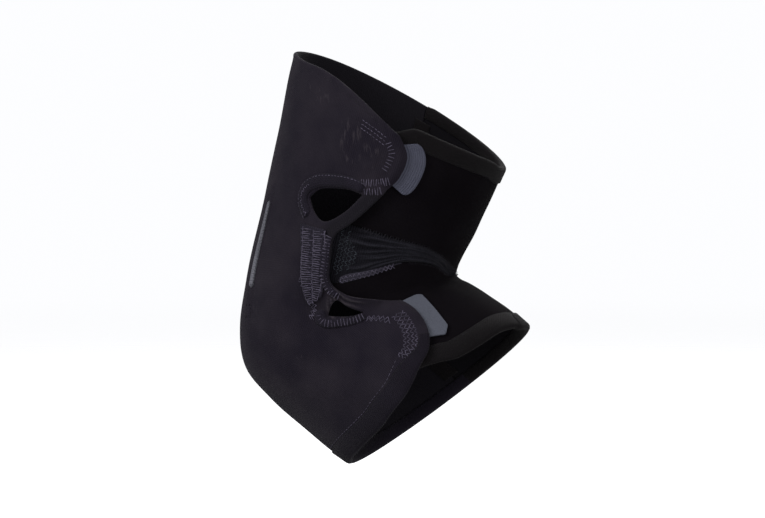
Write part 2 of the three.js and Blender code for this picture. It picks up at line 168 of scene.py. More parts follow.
def smooth(rows, column, at, place=0):
    """The value of a column at a place, smoothly between the rows and straight past the ends."""
    rows = np.asarray(rows, float)
    x, y = rows[:, place], rows[:, column]
    before = np.maximum(np.arange(len(x)) - 1, 0)
    after = np.minimum(np.arange(len(x)) + 1, len(x) - 1)
    slope = (y[after] - y[before]) / (x[after] - x[before])
    at = np.asarray(at, float)
    i = np.clip(np.searchsorted(x, at, side="right") - 1, 0, len(x) - 2)
    step = x[i + 1] - x[i]
    t = (at - x[i]) / step
    inside = (
        (2 * t**3 - 3 * t**2 + 1) * y[i]
        + (t**3 - 2 * t**2 + t) * step * slope[i]
        + (3 * t**2 - 2 * t**3) * y[i + 1]
        + (t**3 - t**2) * step * slope[i + 1]
    )
    below = y[i] + slope[i] * t * step
    above = y[i + 1] + slope[i + 1] * (t - 1) * step
    return np.where(t < 0, below, np.where(t > 1, above, inside))


def skin(x, y):
    """Points of the arm's skin for pattern points, x round the arm and y along it."""
    angle = np.radians(np.asarray(x) / DEGREE)
    centre_x, centre_z, tilt, back, front, side = (smooth(RINGS, c, y) for c in range(1, 7))
    depth = np.cos(angle) * np.where(np.cos(angle) > 0, front, back)
    return np.stack(
        [centre_x + depth * np.cos(tilt), -side * np.sin(angle), centre_z - depth * np.sin(tilt)],
        axis=-1,
    )


def unit(v):
    return v / np.maximum(np.linalg.norm(v, axis=-1, keepdims=True), 1e-12)


def outward(x, y, step=0.2):
    """The directions out of the skin."""
    round_arm = skin(x + step, y) - skin(x - step, y)
    along_arm = skin(x, y + step) - skin(x, y - step)
    return unit(np.cross(round_arm, along_arm))


def laid(x, y, height):
    """Points at a height over the skin, in metres."""
    return (skin(x, y) + outward(x, y) * height[..., None]) / 1000


print("skin at the crook:", np.round(skin(0.0, float(UPPER_LENGTH)), 1), "mm")

# %% [markdown]
# ## The pattern
# Each line of the pattern is a short row of points: degrees round the arm (0 at the crook, 90 on
# the outer side, 180 at the back) and a share of the covered length. Neighbours share a line, so
# that their edges meet.

# %% Lines of the pattern
INNER_SEAM = -90
SHELL_TOP = [
    (72.5, 0.009), (86, -0.016), (101, -0.034), (121, -0.034),
    (145, -0.012), (180, 0), (225, 0), (275, 0),
]
SHELL_BOTTOM = [
    (72.5, 0.928), (85.5, 0.966), (100.5, 0.985), (120, 1.0),
    (180, 1.0), (225, 1.0), (275, 1.0),
]
UPPER_FLAP_END = [(72.5, 0.009), (67, 0.05), (66, 0.09), (67.5, 0.14), (71, 0.18)]
LOWER_FLAP_END = [(52, 0.684), (51.5, 0.77), (55.5, 0.848), (63.5, 0.905), (72.5, 0.928)]
STRAP_EDGE = [
    (71, 0.18), (73, 0.21), (79, 0.275), (85, 0.325), (91.5, 0.37),
    (91, 0.44), (89, 0.505), (79, 0.55), (64, 0.6), (52, 0.684),
]
UPPER_WINDOW_TOP = [(82.5, 0.227), (89, 0.228), (97, 0.241), (107, 0.264), (112.5, 0.296)]
UPPER_WINDOW_BOTTOM = [(112.5, 0.296), (107.5, 0.325), (98.5, 0.339), (89, 0.29), (82.5, 0.227)]
LOWER_WINDOW_TOP = [(71, 0.658), (77, 0.61), (83, 0.572), (88.5, 0.624)]
LOWER_WINDOW_BOTTOM = [(88.5, 0.624), (81, 0.645), (76, 0.656), (71, 0.658)]
FRONT_TOP = [
    (INNER_SEAM, 0), (-30, 0), (0, -0.01), (15, -0.03), (33, -0.036),
    (52, -0.034), (65, -0.028), (70, -0.01), (76, 0.015), (88, 0.02),
]
GUSSET_TOP = [
    (INNER_SEAM, 0.48), (-15, 0.5), (3, 0.46), (18, 0.395),
    (37.5, 0.345), (63, 0.333), (84, 0.328), (91, 0.335),
]
GUSSET_BOTTOM = [
    (INNER_SEAM, 0.62), (-15, 0.62), (3, 0.57), (15, 0.49),
    (29, 0.43), (51.5, 0.431), (74, 0.503), (90.5, 0.52),
]
FRONT_BOTTOM = [
    (INNER_SEAM, 1.0), (-5, 1.0), (10, 0.985), (23, 0.975), (40, 0.976),
    (55, 0.97), (65, 0.945), (75, 0.925), (86, 0.92),
]
FREE_EDGE = [
    (88, 0.02), (88, 0.1), (84, 0.18), (79, 0.227), (79.5, 0.25), (83, 0.285),
    (91, 0.335), (95, 0.38), (94, 0.45), (90.5, 0.52), (83, 0.555), (71.5, 0.6),
    (64, 0.65), (65, 0.69), (73, 0.74), (80, 0.8), (84, 0.87), (86, 0.92),
]
PAD_OUTER = [(113, 0.365), (108, 0.44), (105, 0.5), (100.5, 0.555), (97, 0.578)]
PAD_INNER = [(97, 0.358), (93.5, 0.43), (92, 0.5), (91.2, 0.53), (91, 0.552)]
STAY_TOP = (144.5, 0.345)
CURVE_STEPS = 24  # between two points of a line, before it is cut into even steps


def pairs(x, y):
    return np.stack([x, y], axis=1)


def gone_along(path):
    """How far each point of a path is from its start."""
    return np.concatenate([[0], np.cumsum(np.linalg.norm(np.diff(path, axis=0), axis=1))])


def even(path, step):
    """The same path with points about a step apart."""
    path = np.asarray(path, float)
    gone = gone_along(path)
    keep = np.concatenate([[True], np.diff(gone) > 1e-9])
    at = np.linspace(0, gone[-1], max(2, round(gone[-1] / step) + 1))
    return pairs(*(np.interp(at, gone[keep], path[keep, i]) for i in range(2)))


def line(rows, step=1.2):
    """A curve through rows of the pattern, as points about a step apart, in millimetres."""
    points = np.array(rows) * (DEGREE, ARM_LENGTH)
    padded = np.vstack([points[0], points, points[-1]])
    t = np.linspace(0, 1, CURVE_STEPS, endpoint=False)[:, None]
    curve = []
    for p0, p1, p2, p3 in zip(padded, padded[1:], padded[2:], padded[3:]):
        v0, v1 = (p2 - p0) / 2, (p3 - p1) / 2
        cubic, square = 2 * p1 - 2 * p2 + v0 + v1, 3 * p2 - 3 * p1 - 2 * v0 - v1
        curve.append(cubic * t**3 + square * t**2 + v0 * t + p1)
    return even(np.vstack([*curve, points[-1]]), step)


def stretch(path, start, end):
    """The part of a path between two shares of its length."""
    first, last = round(start * (len(path) - 1)), round(end * (len(path) - 1))
    return path[first:last + 1]


def softened(path, times):
    """A path with its corners smoothed, between the same ends."""
    path = path.copy()
    for _ in range(times):
        path[1:-1] = (path[:-2] + 2 * path[1:-1] + path[2:]) / 4
    return path


def normals(path, closed=False):
    """Directions to the right-hand side of a path, seen from outside the arm with the hand down."""
    way = np.roll(path, -1, axis=0) - np.roll(path, 1, axis=0) if closed else np.gradient(path, axis=0)
    way = unit(way)
    return pairs(-way[:, 1], way[:, 0])


def beside(path, distance):
    """A path at a distance to the right-hand side."""
    return path + normals(path) * distance


print("length of the shell's top hem:", round(len(line(SHELL_TOP)) * 1.2), "mm")

# %% [markdown]
# ## Heights
# Where cloth lies on cloth it is lifted. The shell lies flat on the arm at the back and rises over
# the front panels near their outer edge, and its flaps rise once more over the hook tabs.

# %% Heights over the skin
RISE_END, RISE_RUN = 5, 20
TAB_RISE_END, TAB_RISE_RUN = -8, 14
TAB_LAYER = TAB_WALL + LAYER_GAP


def step_up(t):
    """A smooth step from 0 to 1."""
    t = np.clip(t, 0, 1)
    return t * t * (3 - 2 * t)


def lift(x, y):
    """The height of the shell's inner side."""
    free = [(along, around) for around, along in FREE_EDGE]
    past = x / DEGREE - smooth(free, 1, y / ARM_LENGTH)
    over_front = step_up((RISE_END + RISE_RUN - past) / RISE_RUN)
    over_tab = step_up((TAB_RISE_END + TAB_RISE_RUN - past) / TAB_RISE_RUN)
    return LAYER * over_front + TAB_LAYER * over_tab


# %% [markdown]
# ## Cutting cloth
# A piece of cloth is a closed slab with round edges. The outline, rows of points just inside it and
# an even grid go through a Delaunay triangulation, which fills any outline, holes included, with
# good triangles. The same triangles serve for the face and the back of the cloth, and they meet
# at the rim. Where there is fine detail, the grid is finer.

# %% Outlines
EDGE_ROWS = (0.12, 0.4, 0.7, 1.0)  # rows of points inside a rim, as shares of the rounding
ROW_ROOM = 0.9  # how far a row keeps from every rim, as a share of its own distance
GRID_ROOM = 0.4  # the room between the last row and the grid, as a share of the grid's step
FINE = 0.5  # the step of the finer grid, as a share of the other


def inside(points, rims):
    """True for the points inside an outline and outside the holes in it."""
    result = np.zeros(len(points), bool)
    for rim in rims:
        for (x0, y0), (x1, y1) in zip(rim, np.roll(rim, -1, axis=0)):
            if y0 != y1:
                crosses = (y0 > points[:, 1]) != (y1 > points[:, 1])
                meets = (x1 - x0) * (points[:, 1] - y0) / (y1 - y0) + x0
                result ^= crosses & (points[:, 0] < meets)
    return result


def distance_to(points, path, closed=False):
    """The distance of each point from a path."""
    ends = np.roll(path, -1, axis=0) if closed else path[1:]
    best = np.full(len(points), np.inf)
    for p, q in zip(path, ends):
        side = q - p
        t = np.clip((points - p) @ side / max(side @ side, 1e-12), 0, 1)
        away = points - p - t[:, None] * side
        best = np.minimum(best, np.hypot(away[:, 0], away[:, 1]))
    return best


def from_rims(points, rims):
    return np.min([distance_to(points, rim, closed=True) for rim in rims], axis=0)


def grid(rims, spacing):
    """Points in even rows, each shifted by half a step, over the whole piece."""
    start, end = rims[0].min(axis=0), rims[0].max(axis=0)
    across = np.arange(start[0], end[0], spacing)
    rows = enumerate(np.arange(start[1], end[1], spacing * math.sqrt(3) / 2))
    return np.vstack([pairs(across + spacing / 2 * (i % 2), np.full(len(across), y)) for i, y in rows])


# %% Triangles of a piece
def triangulate(rims, spacing, insets, detail=None):
    """Points and triangles that fill the rims. detail says which points need the finer grid."""
    points = [np.vstack(rims)]
    for inset in insets:
        rows = np.vstack([rim + normals(rim, True) * side for rim in rims for side in (inset, -inset)])
        points.append(rows[(from_rims(rows, rims) > ROW_ROOM * inset) & inside(rows, rims)])
    inner = grid(rims, spacing)
    if detail:
        spacing *= FINE
        fine = grid(rims, spacing)
        inner = np.vstack([inner[~detail(inner)], fine[detail(fine)]])
    inner = inner[inside(inner, rims)]
    points.append(inner[from_rims(inner, rims) > insets[-1] + GRID_ROOM * spacing])
    edges, first = [], 0
    for rim in rims:
        edges += [(first + i, first + (i + 1) % len(rim)) for i in range(len(rim))]
        first += len(rim)
    flat = [Vector(p) for p in np.vstack(points)]
    places, _, faces, *_ = delaunay_2d_cdt(flat, edges, [], 1, 1e-6, False)
    places, faces = np.array([tuple(p) for p in places]), np.array(faces)
    faces = faces[inside(places[faces].mean(axis=1), rims)]
    on_rim = from_rims(places, rims) < 1e-4
    return places, faces[~on_rim[faces].all(axis=1)], on_rim


def finished_mesh(name, spots, polygons, pattern, marks=None):
    """An object with smooth faces, its pattern as a UV map in metres, and marks as attributes."""
    mesh = bpy.data.meshes.new(name)
    mesh.from_pydata(spots.tolist(), [], polygons)
    mesh.polygons.foreach_set("use_smooth", [True] * len(mesh.polygons))
    corner = np.zeros(len(mesh.loops), int)
    mesh.loops.foreach_get("vertex_index", corner)
    mesh.uv_layers.new(name="Pattern").uv.foreach_set("vector", (pattern[corner] / 1000).ravel())
    for mark, values in (marks or {}).items():
        mesh.attributes.new(mark, "FLOAT", "POINT").data.foreach_set("value", values)
    mesh.update()
    return added(name, mesh)


# %% Cloth
def cloth(name, rims, base, thickness, spacing, rounding=None, relief=None, detail=None, marks=None):
    """A slab of cloth whose back lies at the height base. relief adds to the height of its face, and
    marks names functions whose values the material reads."""
    rounding = rounding or thickness / 2
    rims = [even(np.vstack([rim, rim[:1]]), min(spacing, 1.0))[:-1] for rim in rims]
    places, faces, on_rim = triangulate(rims, spacing, np.array(EDGE_ROWS) * rounding, detail)
    used = np.unique(faces)
    renumber = np.zeros(len(places), int)
    renumber[used] = np.arange(len(used))
    places, faces, on_rim = places[used], renumber[faces], on_rim[used]
    x, y = places.T
    edge = from_rims(places, rims)
    crown = np.sqrt(1 - (1 - np.clip(edge / rounding, 0, 1)) ** 2)
    centre, half = base(x, y) + thickness / 2, thickness / 2 * crown
    face = centre + half + (relief(x, y, edge) * crown if relief else 0)
    spots = np.vstack([laid(x, y, face), laid(x, y, centre - half)[~on_rim]])
    below = np.arange(len(places))
    below[~on_rim] = np.arange(len(places), len(spots))
    polygons = np.vstack([faces, below[faces][:, ::-1]]).tolist()

    def both(values):
        return np.concatenate([values, values[~on_rim]])

    values = {"edge": both(edge), "back": np.arange(len(spots)) // len(places) * 1.0}
    for mark, measure in (marks or {}).items():
        values[mark] = both(measure(x, y))
    return finished_mesh(name, spots, polygons, both(places), values)


# %% [markdown]
# ## The shell
# The shell is one cut with two window holes. Its face isn't quite even: the cloth waves slightly
# where it is pulled, edges are pressed flat, stitched rows sink in, and the lower strap gathers
# into small pleats that fan out from the pad.

# %% Outline and windows of the shell
top_line, bottom_line = line(SHELL_TOP), line(SHELL_BOTTOM)
upper_end, lower_end = line(UPPER_FLAP_END), line(LOWER_FLAP_END)
strap_line = line(STRAP_EDGE)
outline = np.vstack([upper_end[:-1], strap_line[:-1], lower_end[:-1], bottom_line, top_line[::-1][:-1]])
outline[:, 0] = np.minimum(outline[:, 0], (INNER_SEAM + 360) * DEGREE)
apart = np.hypot(*(outline - np.roll(outline, 1, axis=0)).T) > 1e-3
SHELL_RIMS = [outline[apart]]
for window in ((UPPER_WINDOW_TOP, UPPER_WINDOW_BOTTOM), (LOWER_WINDOW_TOP, LOWER_WINDOW_BOTTOM)):
    SHELL_RIMS.append(np.vstack([line(side)[:-1] for side in window]))

# Slow waves of the cloth: height in mm, lengths of the wave round and along the arm, and a shift
WAVES = [(0.2, 74, 51, 0.4), (0.13, 43, 33, 2.1), (0.07, 23, 29, 4.4)]
EDGE_BAND = 4.2  # the band along the ends of the flaps, with a rim that stands out a little
RIM_HEIGHT = 0.35
EDGE_ROLL = 0.7  # how far the edge of the band rolls down
SEWN_WIDTH = 9.5  # the stitched area behind it
SEWN_DEPTH = 0.45
TOP_FOLD = 2.6  # the turned edge of the shell's top
FOLD_HEIGHT = 0.3
FOLD_GROOVE = 0.18
STAY_DEGREES = (142, 158)  # between these the stay pocket stands out a little
STAY_ALONG = (48, 106)
POCKET_HEIGHT = 0.5


def waves(x, y):
    return sum(
        height * np.sin(2 * np.pi * (x / across + y / along) + shift)
        for height, across, along, shift in WAVES
    )


def groove(distance, at, width=0.6):
    """1 at a distance from something, and 0 on either side of it."""
    return np.exp(-(((distance - at) / width) ** 2))


# %% Relief of the shell
PLEATS_FROM = (88.5, 0.513)  # the pleats of the lower strap fan out from here
PLEATS_REACH = 30
PLEAT_HEIGHT = 0.5
PLEATS_PER_TURN = 34


def strap_pleats(x, y):
    """The pleats between -1 in the creases and 1 on the ridges."""
    dx, dy = PLEATS_FROM[0] * DEGREE - x, y - PLEATS_FROM[1] * ARM_LENGTH
    far = np.hypot(dx, dy)
    fan = np.cos(np.arctan2(dy, dx) * PLEATS_PER_TURN + 0.5 * np.sin(far / 3))
    return fan * step_up((far - 1) / 4) * step_up((PLEATS_REACH - far) / 14) * step_up((dx + 1) / 3)


def shell_relief(x, y, edge):
    points = pairs(x, y)
    to_upper = distance_to(points, upper_end)
    to_end = np.minimum(to_upper, distance_to(points, lower_end))
    sewn_in = step_up((to_end - EDGE_BAND) / 1.2) * step_up((EDGE_BAND + SEWN_WIDTH - to_end) / 3)
    to_free_end = np.minimum(to_upper, distance_to(points, stretch(lower_end, 0, 0.5)))
    rim = RIM_HEIGHT * groove(to_free_end, 3.0, 1.2) - EDGE_ROLL * step_up(1 - to_free_end / 2.8)
    to_top = distance_to(points, top_line)
    top_edge = FOLD_HEIGHT * step_up((TOP_FOLD - to_top) / 0.5)
    top_edge -= FOLD_GROOVE * groove(to_top, TOP_FOLD + 0.4)
    (left, right), (start, end) = STAY_DEGREES, STAY_ALONG
    pocket = step_up((x / DEGREE - left) / 3) * step_up((right - x / DEGREE) / 3)
    pocket *= step_up((y - start) / 6) * step_up((end - y) / 8)
    flat = waves(x, y) * step_up(edge / 12) - SEWN_DEPTH * sewn_in + top_edge
    return flat + POCKET_HEIGHT * pocket + rim + PLEAT_HEIGHT * strap_pleats(x, y)


def shell_surface(x, y):
    """The height of the shell's face."""
    edge = from_rims(pairs(x.ravel(), y.ravel()), SHELL_RIMS)
    relief = shell_relief(x.ravel(), y.ravel(), edge).reshape(x.shape)
    return lift(x, y) + WALL + relief


# %% Worn places of the shell, its painted pleat highlight and its darker strip
# degrees, share, half sizes round and along the arm in mm, and strength: where loops are rubbed
WORN = [
    (99, 0.085, 3, 9, 0.85), (93, 0.075, 2.5, 8, 1.0), (87, 0.08, 2.5, 9, 0.85), (93, 0.14, 7, 3, 0.75),
    (81, 0.1, 2.5, 7, 0.7), (118, 0.03, 7, 4, 0.6), (128, 0.03, 4, 3, 0.4), (136, 0.56, 6, 9, 0.35),
    (112, 0.72, 9, 5, 0.25), (124, 0.8, 6, 6, 0.2),
]
RIDGE_HIGHLIGHT = 1.5  # how much painted highlight the ridges of the strap's pleats get
DARK_STRIP_WIDTH = 9  # the strip of strap beside the upper window that is coloured darker
DARK_STRIP_SHARE = 0.7
darkened_strap = stretch(strap_line, 0.1, 0.42)


def worn(x, y):
    return np.max([
        strength * np.exp(-(((x - around * DEGREE) / wide) ** 2 + ((y - along * ARM_LENGTH) / long) ** 2))
        for around, along, wide, long, strength in WORN
    ], axis=0)


# Painted highlight on the ridges of the strap's pleats, for the material
def strap_ridge_highlight(x, y):
    return RIDGE_HIGHLIGHT * np.maximum(strap_pleats(x, y), 0)


def dark_strip(x, y):
    """How much darker the strap is coloured beside the upper window, towards the lining's colour."""
    return DARK_STRIP_SHARE * step_up((DARK_STRIP_WIDTH - distance_to(pairs(x, y), darkened_strap)) / 5)


def near_details(points):
    """The parts of the shell with stitches, pleats and folds."""
    degrees, share = points[:, 0] / DEGREE, points[:, 1] / ARM_LENGTH
    outer_side = (degrees < 104) & (share > -0.05) & (share < 0.95)
    return outer_side | (degrees < 130) & (share < 0.6) & (share > 0.2)


# The marks: rubbed places, a painted highlight on the strap's pleat ridges, and a darker strip beside the
# upper window
shell = cloth(
    "shell_cloth", SHELL_RIMS, lift, WALL, 1.9, relief=shell_relief, detail=near_details,
    marks={"worn": worn, "pleat": strap_ridge_highlight, "dark_strip": dark_strip},
)
print(shell.name, len(shell.data.polygons), "faces")

# %% [markdown]
# ## Front panels and gusset
# Between the flaps lie three pieces that share their seams: a smooth panel over the upper arm, the
# gathered stretch cloth in the crook and a smooth panel over the forearm. Each runs from the seam
# on the inner side of the arm to an edge that the shell covers. The gusset has many small pleats,
# each at its own place, because elastic in its edges draws it together.

# %% Cut of the front pieces
SEAM_POINTS = 40  # on the seam down the inner side
free_edge = line(FREE_EDGE)


def nearest(path, place):
    return int(np.argmin(np.hypot(*(path - place).T)))


def front_rim(near_rows, far_rows):
    """The outline of a front piece between two lines, the seam and the free edge."""
    near, far = line(near_rows), line(far_rows)
    first, last = nearest(free_edge, near[-1]), nearest(free_edge, far[-1])
    seam = np.linspace(near[0], far[0], SEAM_POINTS)[1:-1]
    return np.vstack([near[:-1], free_edge[first + 1:last], far[::-1], seam[::-1]])


def on_skin(x, y):
    return np.zeros_like(x)


def over(base, height):
    """A surface at a height over another."""
    return lambda x, y: base(x, y) + height


def soft_waves(x, y, edge):
    return 0.6 * waves(y, x) * step_up(edge / 10)


# %% Pleats of the gusset
# place across the gusset, height in mm, half width as a share, then where it starts and ends
PLEATS = [
    (0.05, 0.6, 0.022, 90, -40), (0.13, 1.1, 0.035, 86, -60), (0.2, 0.7, 0.02, 74, -10),
    (0.27, 1.3, 0.035, 92, -70), (0.35, 0.8, 0.022, 70, -30), (0.43, 1.1, 0.032, 84, -55),
    (0.51, 0.7, 0.022, 88, 0), (0.58, 1.4, 0.035, 80, -65), (0.66, 0.8, 0.022, 66, -20),
    (0.74, 1.2, 0.032, 88, -60), (0.83, 1.5, 0.04, 76, -60), (0.92, 0.7, 0.025, 62, -35),
]
HIGHEST_PLEAT = 1.5
WELL_INSIDE = 9.0  # this far from the edge of the gusset the pleats have their full height


def gusset_edges(x):
    """Where the two long edges of the gusset are, along the arm."""
    return (smooth(rows, 1, x / DEGREE) * ARM_LENGTH for rows in (GUSSET_TOP, GUSSET_BOTTOM))


def pleats(x, y, edge):
    top, bottom = gusset_edges(x)
    degrees, across = x / DEGREE, (y - top) / (bottom - top)
    height = np.zeros_like(x)
    for i, (place, rise, spread, start, end) in enumerate(PLEATS):
        fade = step_up((start - degrees) / 16) * step_up((degrees - end) / 40)
        sway = 0.014 * np.sin(x / 6.5 + 1.7 * i) + 0.006 * np.sin(x / 2.3 + i)
        height = np.maximum(height, rise * fade * np.exp(-(((across - place - sway) / spread) ** 2)))
    return height * step_up(edge / 2)


def full_pleats(x, y):
    return pleats(x, y, np.full_like(x, WELL_INSIDE))


def pleat_highlight_mark(x, y):
    """0 in the creases and 1 on the highest pleat, for the material's painted highlight on the pleat
    tops.
    """
    return full_pleats(x, y) / HIGHEST_PLEAT


upper_front = cloth(
    "upper_front_cloth", [front_rim(FRONT_TOP, GUSSET_TOP)], on_skin, WALL, 1.7, relief=soft_waves
)
# The gusset's pleat mark paints a highlight on the tops of its pleats
gusset = cloth(
    "gusset_cloth", [front_rim(GUSSET_TOP, GUSSET_BOTTOM)], on_skin, GUSSET_WALL, 0.75,
    relief=pleats, marks={"pleat": pleat_highlight_mark},
)
lower_front = cloth(
    "lower_front_cloth", [front_rim(GUSSET_BOTTOM, FRONT_BOTTOM)], on_skin, WALL, 1.5, relief=soft_waves
)
for piece in (upper_front, gusset, lower_front):
    print(piece.name, len(piece.data.polygons), "faces")

# %% [markdown]
# ## Trims that follow a line
# Hems, bindings and cords all have one section that is carried along a line of the pattern. A hem is
# a strip folded round the cloth's edge, so its section is a thin hook shape. A binding is a low
# half round, and a cord is a full round. One function carries any closed section along any line.

# %% Carry a section along a line
def rounded_ends(path, run):
    """A size for each place of a path: 1, falling to almost nothing at both ends in a round."""
    gone = gone_along(path)
    to_end = np.minimum(gone, gone[-1] - gone)
    return np.sqrt(1 - (1 - np.clip(to_end / run, 0.03, 1)) ** 2)


def carry(name, path, section, base, sizes=1.0):
    """A closed section carried along a path. The section is points of (aside, height over base),
    the same all along or a row of them for each place of the path. sizes scales it."""
    sizes = np.broadcast_to(sizes, len(path))[:, None, None]
    aside, rise = np.moveaxis(np.asarray(section) * sizes, -1, 0)
    x, y = np.moveaxis(path[:, None] + normals(path)[:, None] * aside[..., None], -1, 0)
    spots = laid(x, y, base(x, y) + rise).reshape(-1, 3)
    gone = np.broadcast_to(gone_along(path)[:, None], x.shape)
    rows, columns = x.shape
    quads = [
        (i * columns + j, (i + 1) * columns + j, (i + 1) * columns + k, i * columns + k)
        for i in range(rows - 1) for j, k in zip(range(columns), [*range(1, columns), 0])
    ]
    ends = [list(range(columns))[::-1], [(rows - 1) * columns + j for j in range(columns)]]
    piece = finished_mesh(name, spots, quads + ends, pairs(gone.ravel(), (aside + rise).ravel()))
    shape = bmesh.new()
    shape.from_mesh(piece.data)
    bmesh.ops.recalc_face_normals(shape, faces=shape.faces)
    shape.to_mesh(piece.data)
    shape.free()
    return piece


def half_round(width, height, low=0.0, points=9):
    """A flat base with a round top, from the middle of the path."""
    turn = np.linspace(0, math.pi, points)
    top = pairs(-np.cos(turn) * width / 2, low + np.sin(turn) ** 0.8 * (height - low))
    return np.vstack([top, [(width / 4, low), (-width / 4, low)]])


# %% Hems
HEM_CLEARANCE = 0.12  # between the cloth's edge and the strip folded round it
HEM_INSIDE = 6  # how wide the strip is inside the brace
HEM_START = 0.15  # share of the strip's thickness at its start


def folded_strip(width, thickness, side):
    """A strip folded round a cloth's edge, seen from the middle of the cloth's thickness."""
    turn = np.linspace(math.pi / 2, 1.5 * math.pi, 7)
    hollow = WALL / 2 + HEM_CLEARANCE
    outer = hollow + thickness
    outside = [(width, hollow - 0.05), (width - 0.7, outer)]
    outside += [(1.0 + outer * math.cos(t), outer * math.sin(t)) for t in turn]
    outside += [(HEM_INSIDE - 0.6, -outer), (HEM_INSIDE, -hollow)]
    hollow_side = [(1.0 + hollow * math.cos(t), hollow * math.sin(t)) for t in turn[::-1]]
    return [(side * aside, height) for aside, height in outside + hollow_side]


def hem(name, path, side, base, start_width=HEM_WIDTH, growth=4.0):
    """A hem along a path. Over the first millimetres it grows from a start width to its full
    width and thickness, so that no blunt end shows at a seam or a flap."""
    sections = [
        folded_strip(
            start_width + (HEM_WIDTH - start_width) * grown,
            HEM_WALL * (HEM_START + (1 - HEM_START) * grown), side,
        )
        for grown in step_up(gone_along(path) / growth)
    ]
    return carry(name, path, sections, over(base, WALL / 2))


# The shell's hem starts part of the way up the end of the lower flap
round_corner = np.vstack([stretch(lower_end, 0.62, 1)[:-1], stretch(bottom_line, 0, 0.997)])
hem_path = softened(even(round_corner, 1.2), 6)
front_top_line, front_bottom_line = line(FRONT_TOP), line(FRONT_BOTTOM)
shell_hem = hem("shell_hem_fold", hem_path, -1, lift, EDGE_BAND, 34)
top_hem = hem("front_top_hem_fold", stretch(front_top_line, 0.003, 1), 1, on_skin)
bottom_hem = hem("front_bottom_hem_fold", stretch(front_bottom_line, 0.003, 1), -1, on_skin)

# %% Window bindings
# Half rounds: width, height and base over the cloth in mm, and sometimes the points of the section
WELT = (6.2, 1.5, -0.3, 13)
PIPING = (STAY_WIDTH, 1.5, -0.2)
CORD = (3.6, 1.7, -0.3)
TAPE = (5.4, 1.0, -0.6, 11)
upper_rim = line(UPPER_WINDOW_TOP + UPPER_WINDOW_BOTTOM[1:2])
lower_rim = stretch(line(LOWER_WINDOW_TOP[2:] + LOWER_WINDOW_BOTTOM[1:]), 0.25, 1)
HALF_WELT = TRIM_INSET + BINDING_WIDTH / 2
upper_welt_path, lower_welt_path = beside(upper_rim, -HALF_WELT), beside(lower_rim, -HALF_WELT)


def trim(name, path, section, rounding, widths=1.0):
    """A half round on the shell, with round ends."""
    return carry(name, path, half_round(*section), shell_surface, rounded_ends(path, rounding) * widths)


upper_welt = trim("upper_window_welt", upper_welt_path, WELT, 2.5)
lower_welt = trim("lower_window_welt", lower_welt_path, WELT, 2.5)

# %% Cords and tapes
NARROW = 0.65  # the width of the stay piping at its top, as a share of that at its foot
stay_start = np.array(STAY_TOP) * (DEGREE, ARM_LENGTH)
stay_path = even([stay_start, stay_start + (0, STAY_LENGTH)], 0.8)
stay = trim("stay_cord", stay_path, PIPING, 1.4, np.linspace(NARROW, 1, len(stay_path)))
strap_path = beside(stretch(strap_line, 0.36, 0.66), -2.2)
strap_cord = trim("strap_cord", strap_path, CORD, 3)

GUSSET_TAPE = [(85, 0.51), (79.5, 0.5), (74, 0.4925), (66, 0.4775), (58.5, 0.455), (50, 0.43)]
tape_path = line(GUSSET_TAPE, step=0.8)
tape_shares = np.linspace(0, 1, len(tape_path))
tape_sizes = np.interp(tape_shares, [0, 0.12, 0.5, 1], [0.75, 1, 0.9, 0.2]) * rounded_ends(tape_path, 1.5)


def on_gusset(x, y):
    """The gusset's face under the tape, which presses the pleats to half their height."""
    return GUSSET_WALL + full_pleats(x, y) / 2


gusset_tape = carry("gusset_seam_tape", tape_path, half_round(*TAPE), on_gusset, tape_sizes)
trims = (shell_hem, top_hem, bottom_hem, upper_welt, lower_welt, stay, strap_cord, gusset_tape)
print("trims:", [piece.name for piece in trims])

# %% [markdown]
# ## Hook tabs and pad
# The tabs are moulded hook tape, thin and a little stiff, sewn in under the flaps. The pad joins the
# straps and is stitched so densely that it is ribbed like a ladder.

# %% Tabs
on_front = over(on_skin, LAYER)


def square_end(path, aside, reach):
    """The outer edge of a square tab, with clipped corners and a slight bulge."""
    first, last = path[0] + aside[0] * reach, path[-1] + aside[-1] * reach
    across, bulge = last - first, aside[len(path) // 2] * 1.1
    corners = [
        path[0], path[0] + aside[0] * reach * 0.8, first + across * 0.1 + bulge * 0.6,
        first + across * 0.5 + bulge, last - across * 0.16 + bulge * 0.6,
        path[-1] + aside[-1] * reach * 0.68, path[-1],
    ]
    return softened(even(corners, 0.4), 4)


def round_end(path, aside, reach):
    blunt = (1 - np.abs(np.linspace(-1, 1, len(path))) ** 5) ** 0.2
    return path + aside * (reach * blunt)[:, None]


def hook_tab(name, rows, start, end, reach, outer_end):
    """A tab under the end of a flap. Its ridges follow the distance past the flap's end."""
    path = stretch(line(rows, step=0.4), start, end)
    aside, flap_end = normals(path), line(rows)
    rim = np.vstack([outer_end(path, aside, reach), (path - aside * TAB_OVERLAP)[::-1]])

    def past_flap(x, y):
        return distance_to(pairs(x, y), flap_end)

    return cloth(name, [rim], on_front, TAB_WALL, 0.8, rounding=0.5, marks={"reach": past_flap})


upper_tab = hook_tab("upper_tab_tape", UPPER_FLAP_END, 0.14, 0.9, UPPER_TAB_REACH, round_end)
lower_tab = hook_tab("lower_tab_tape", LOWER_FLAP_END, 0.01, 0.66, TAB_REACH, square_end)

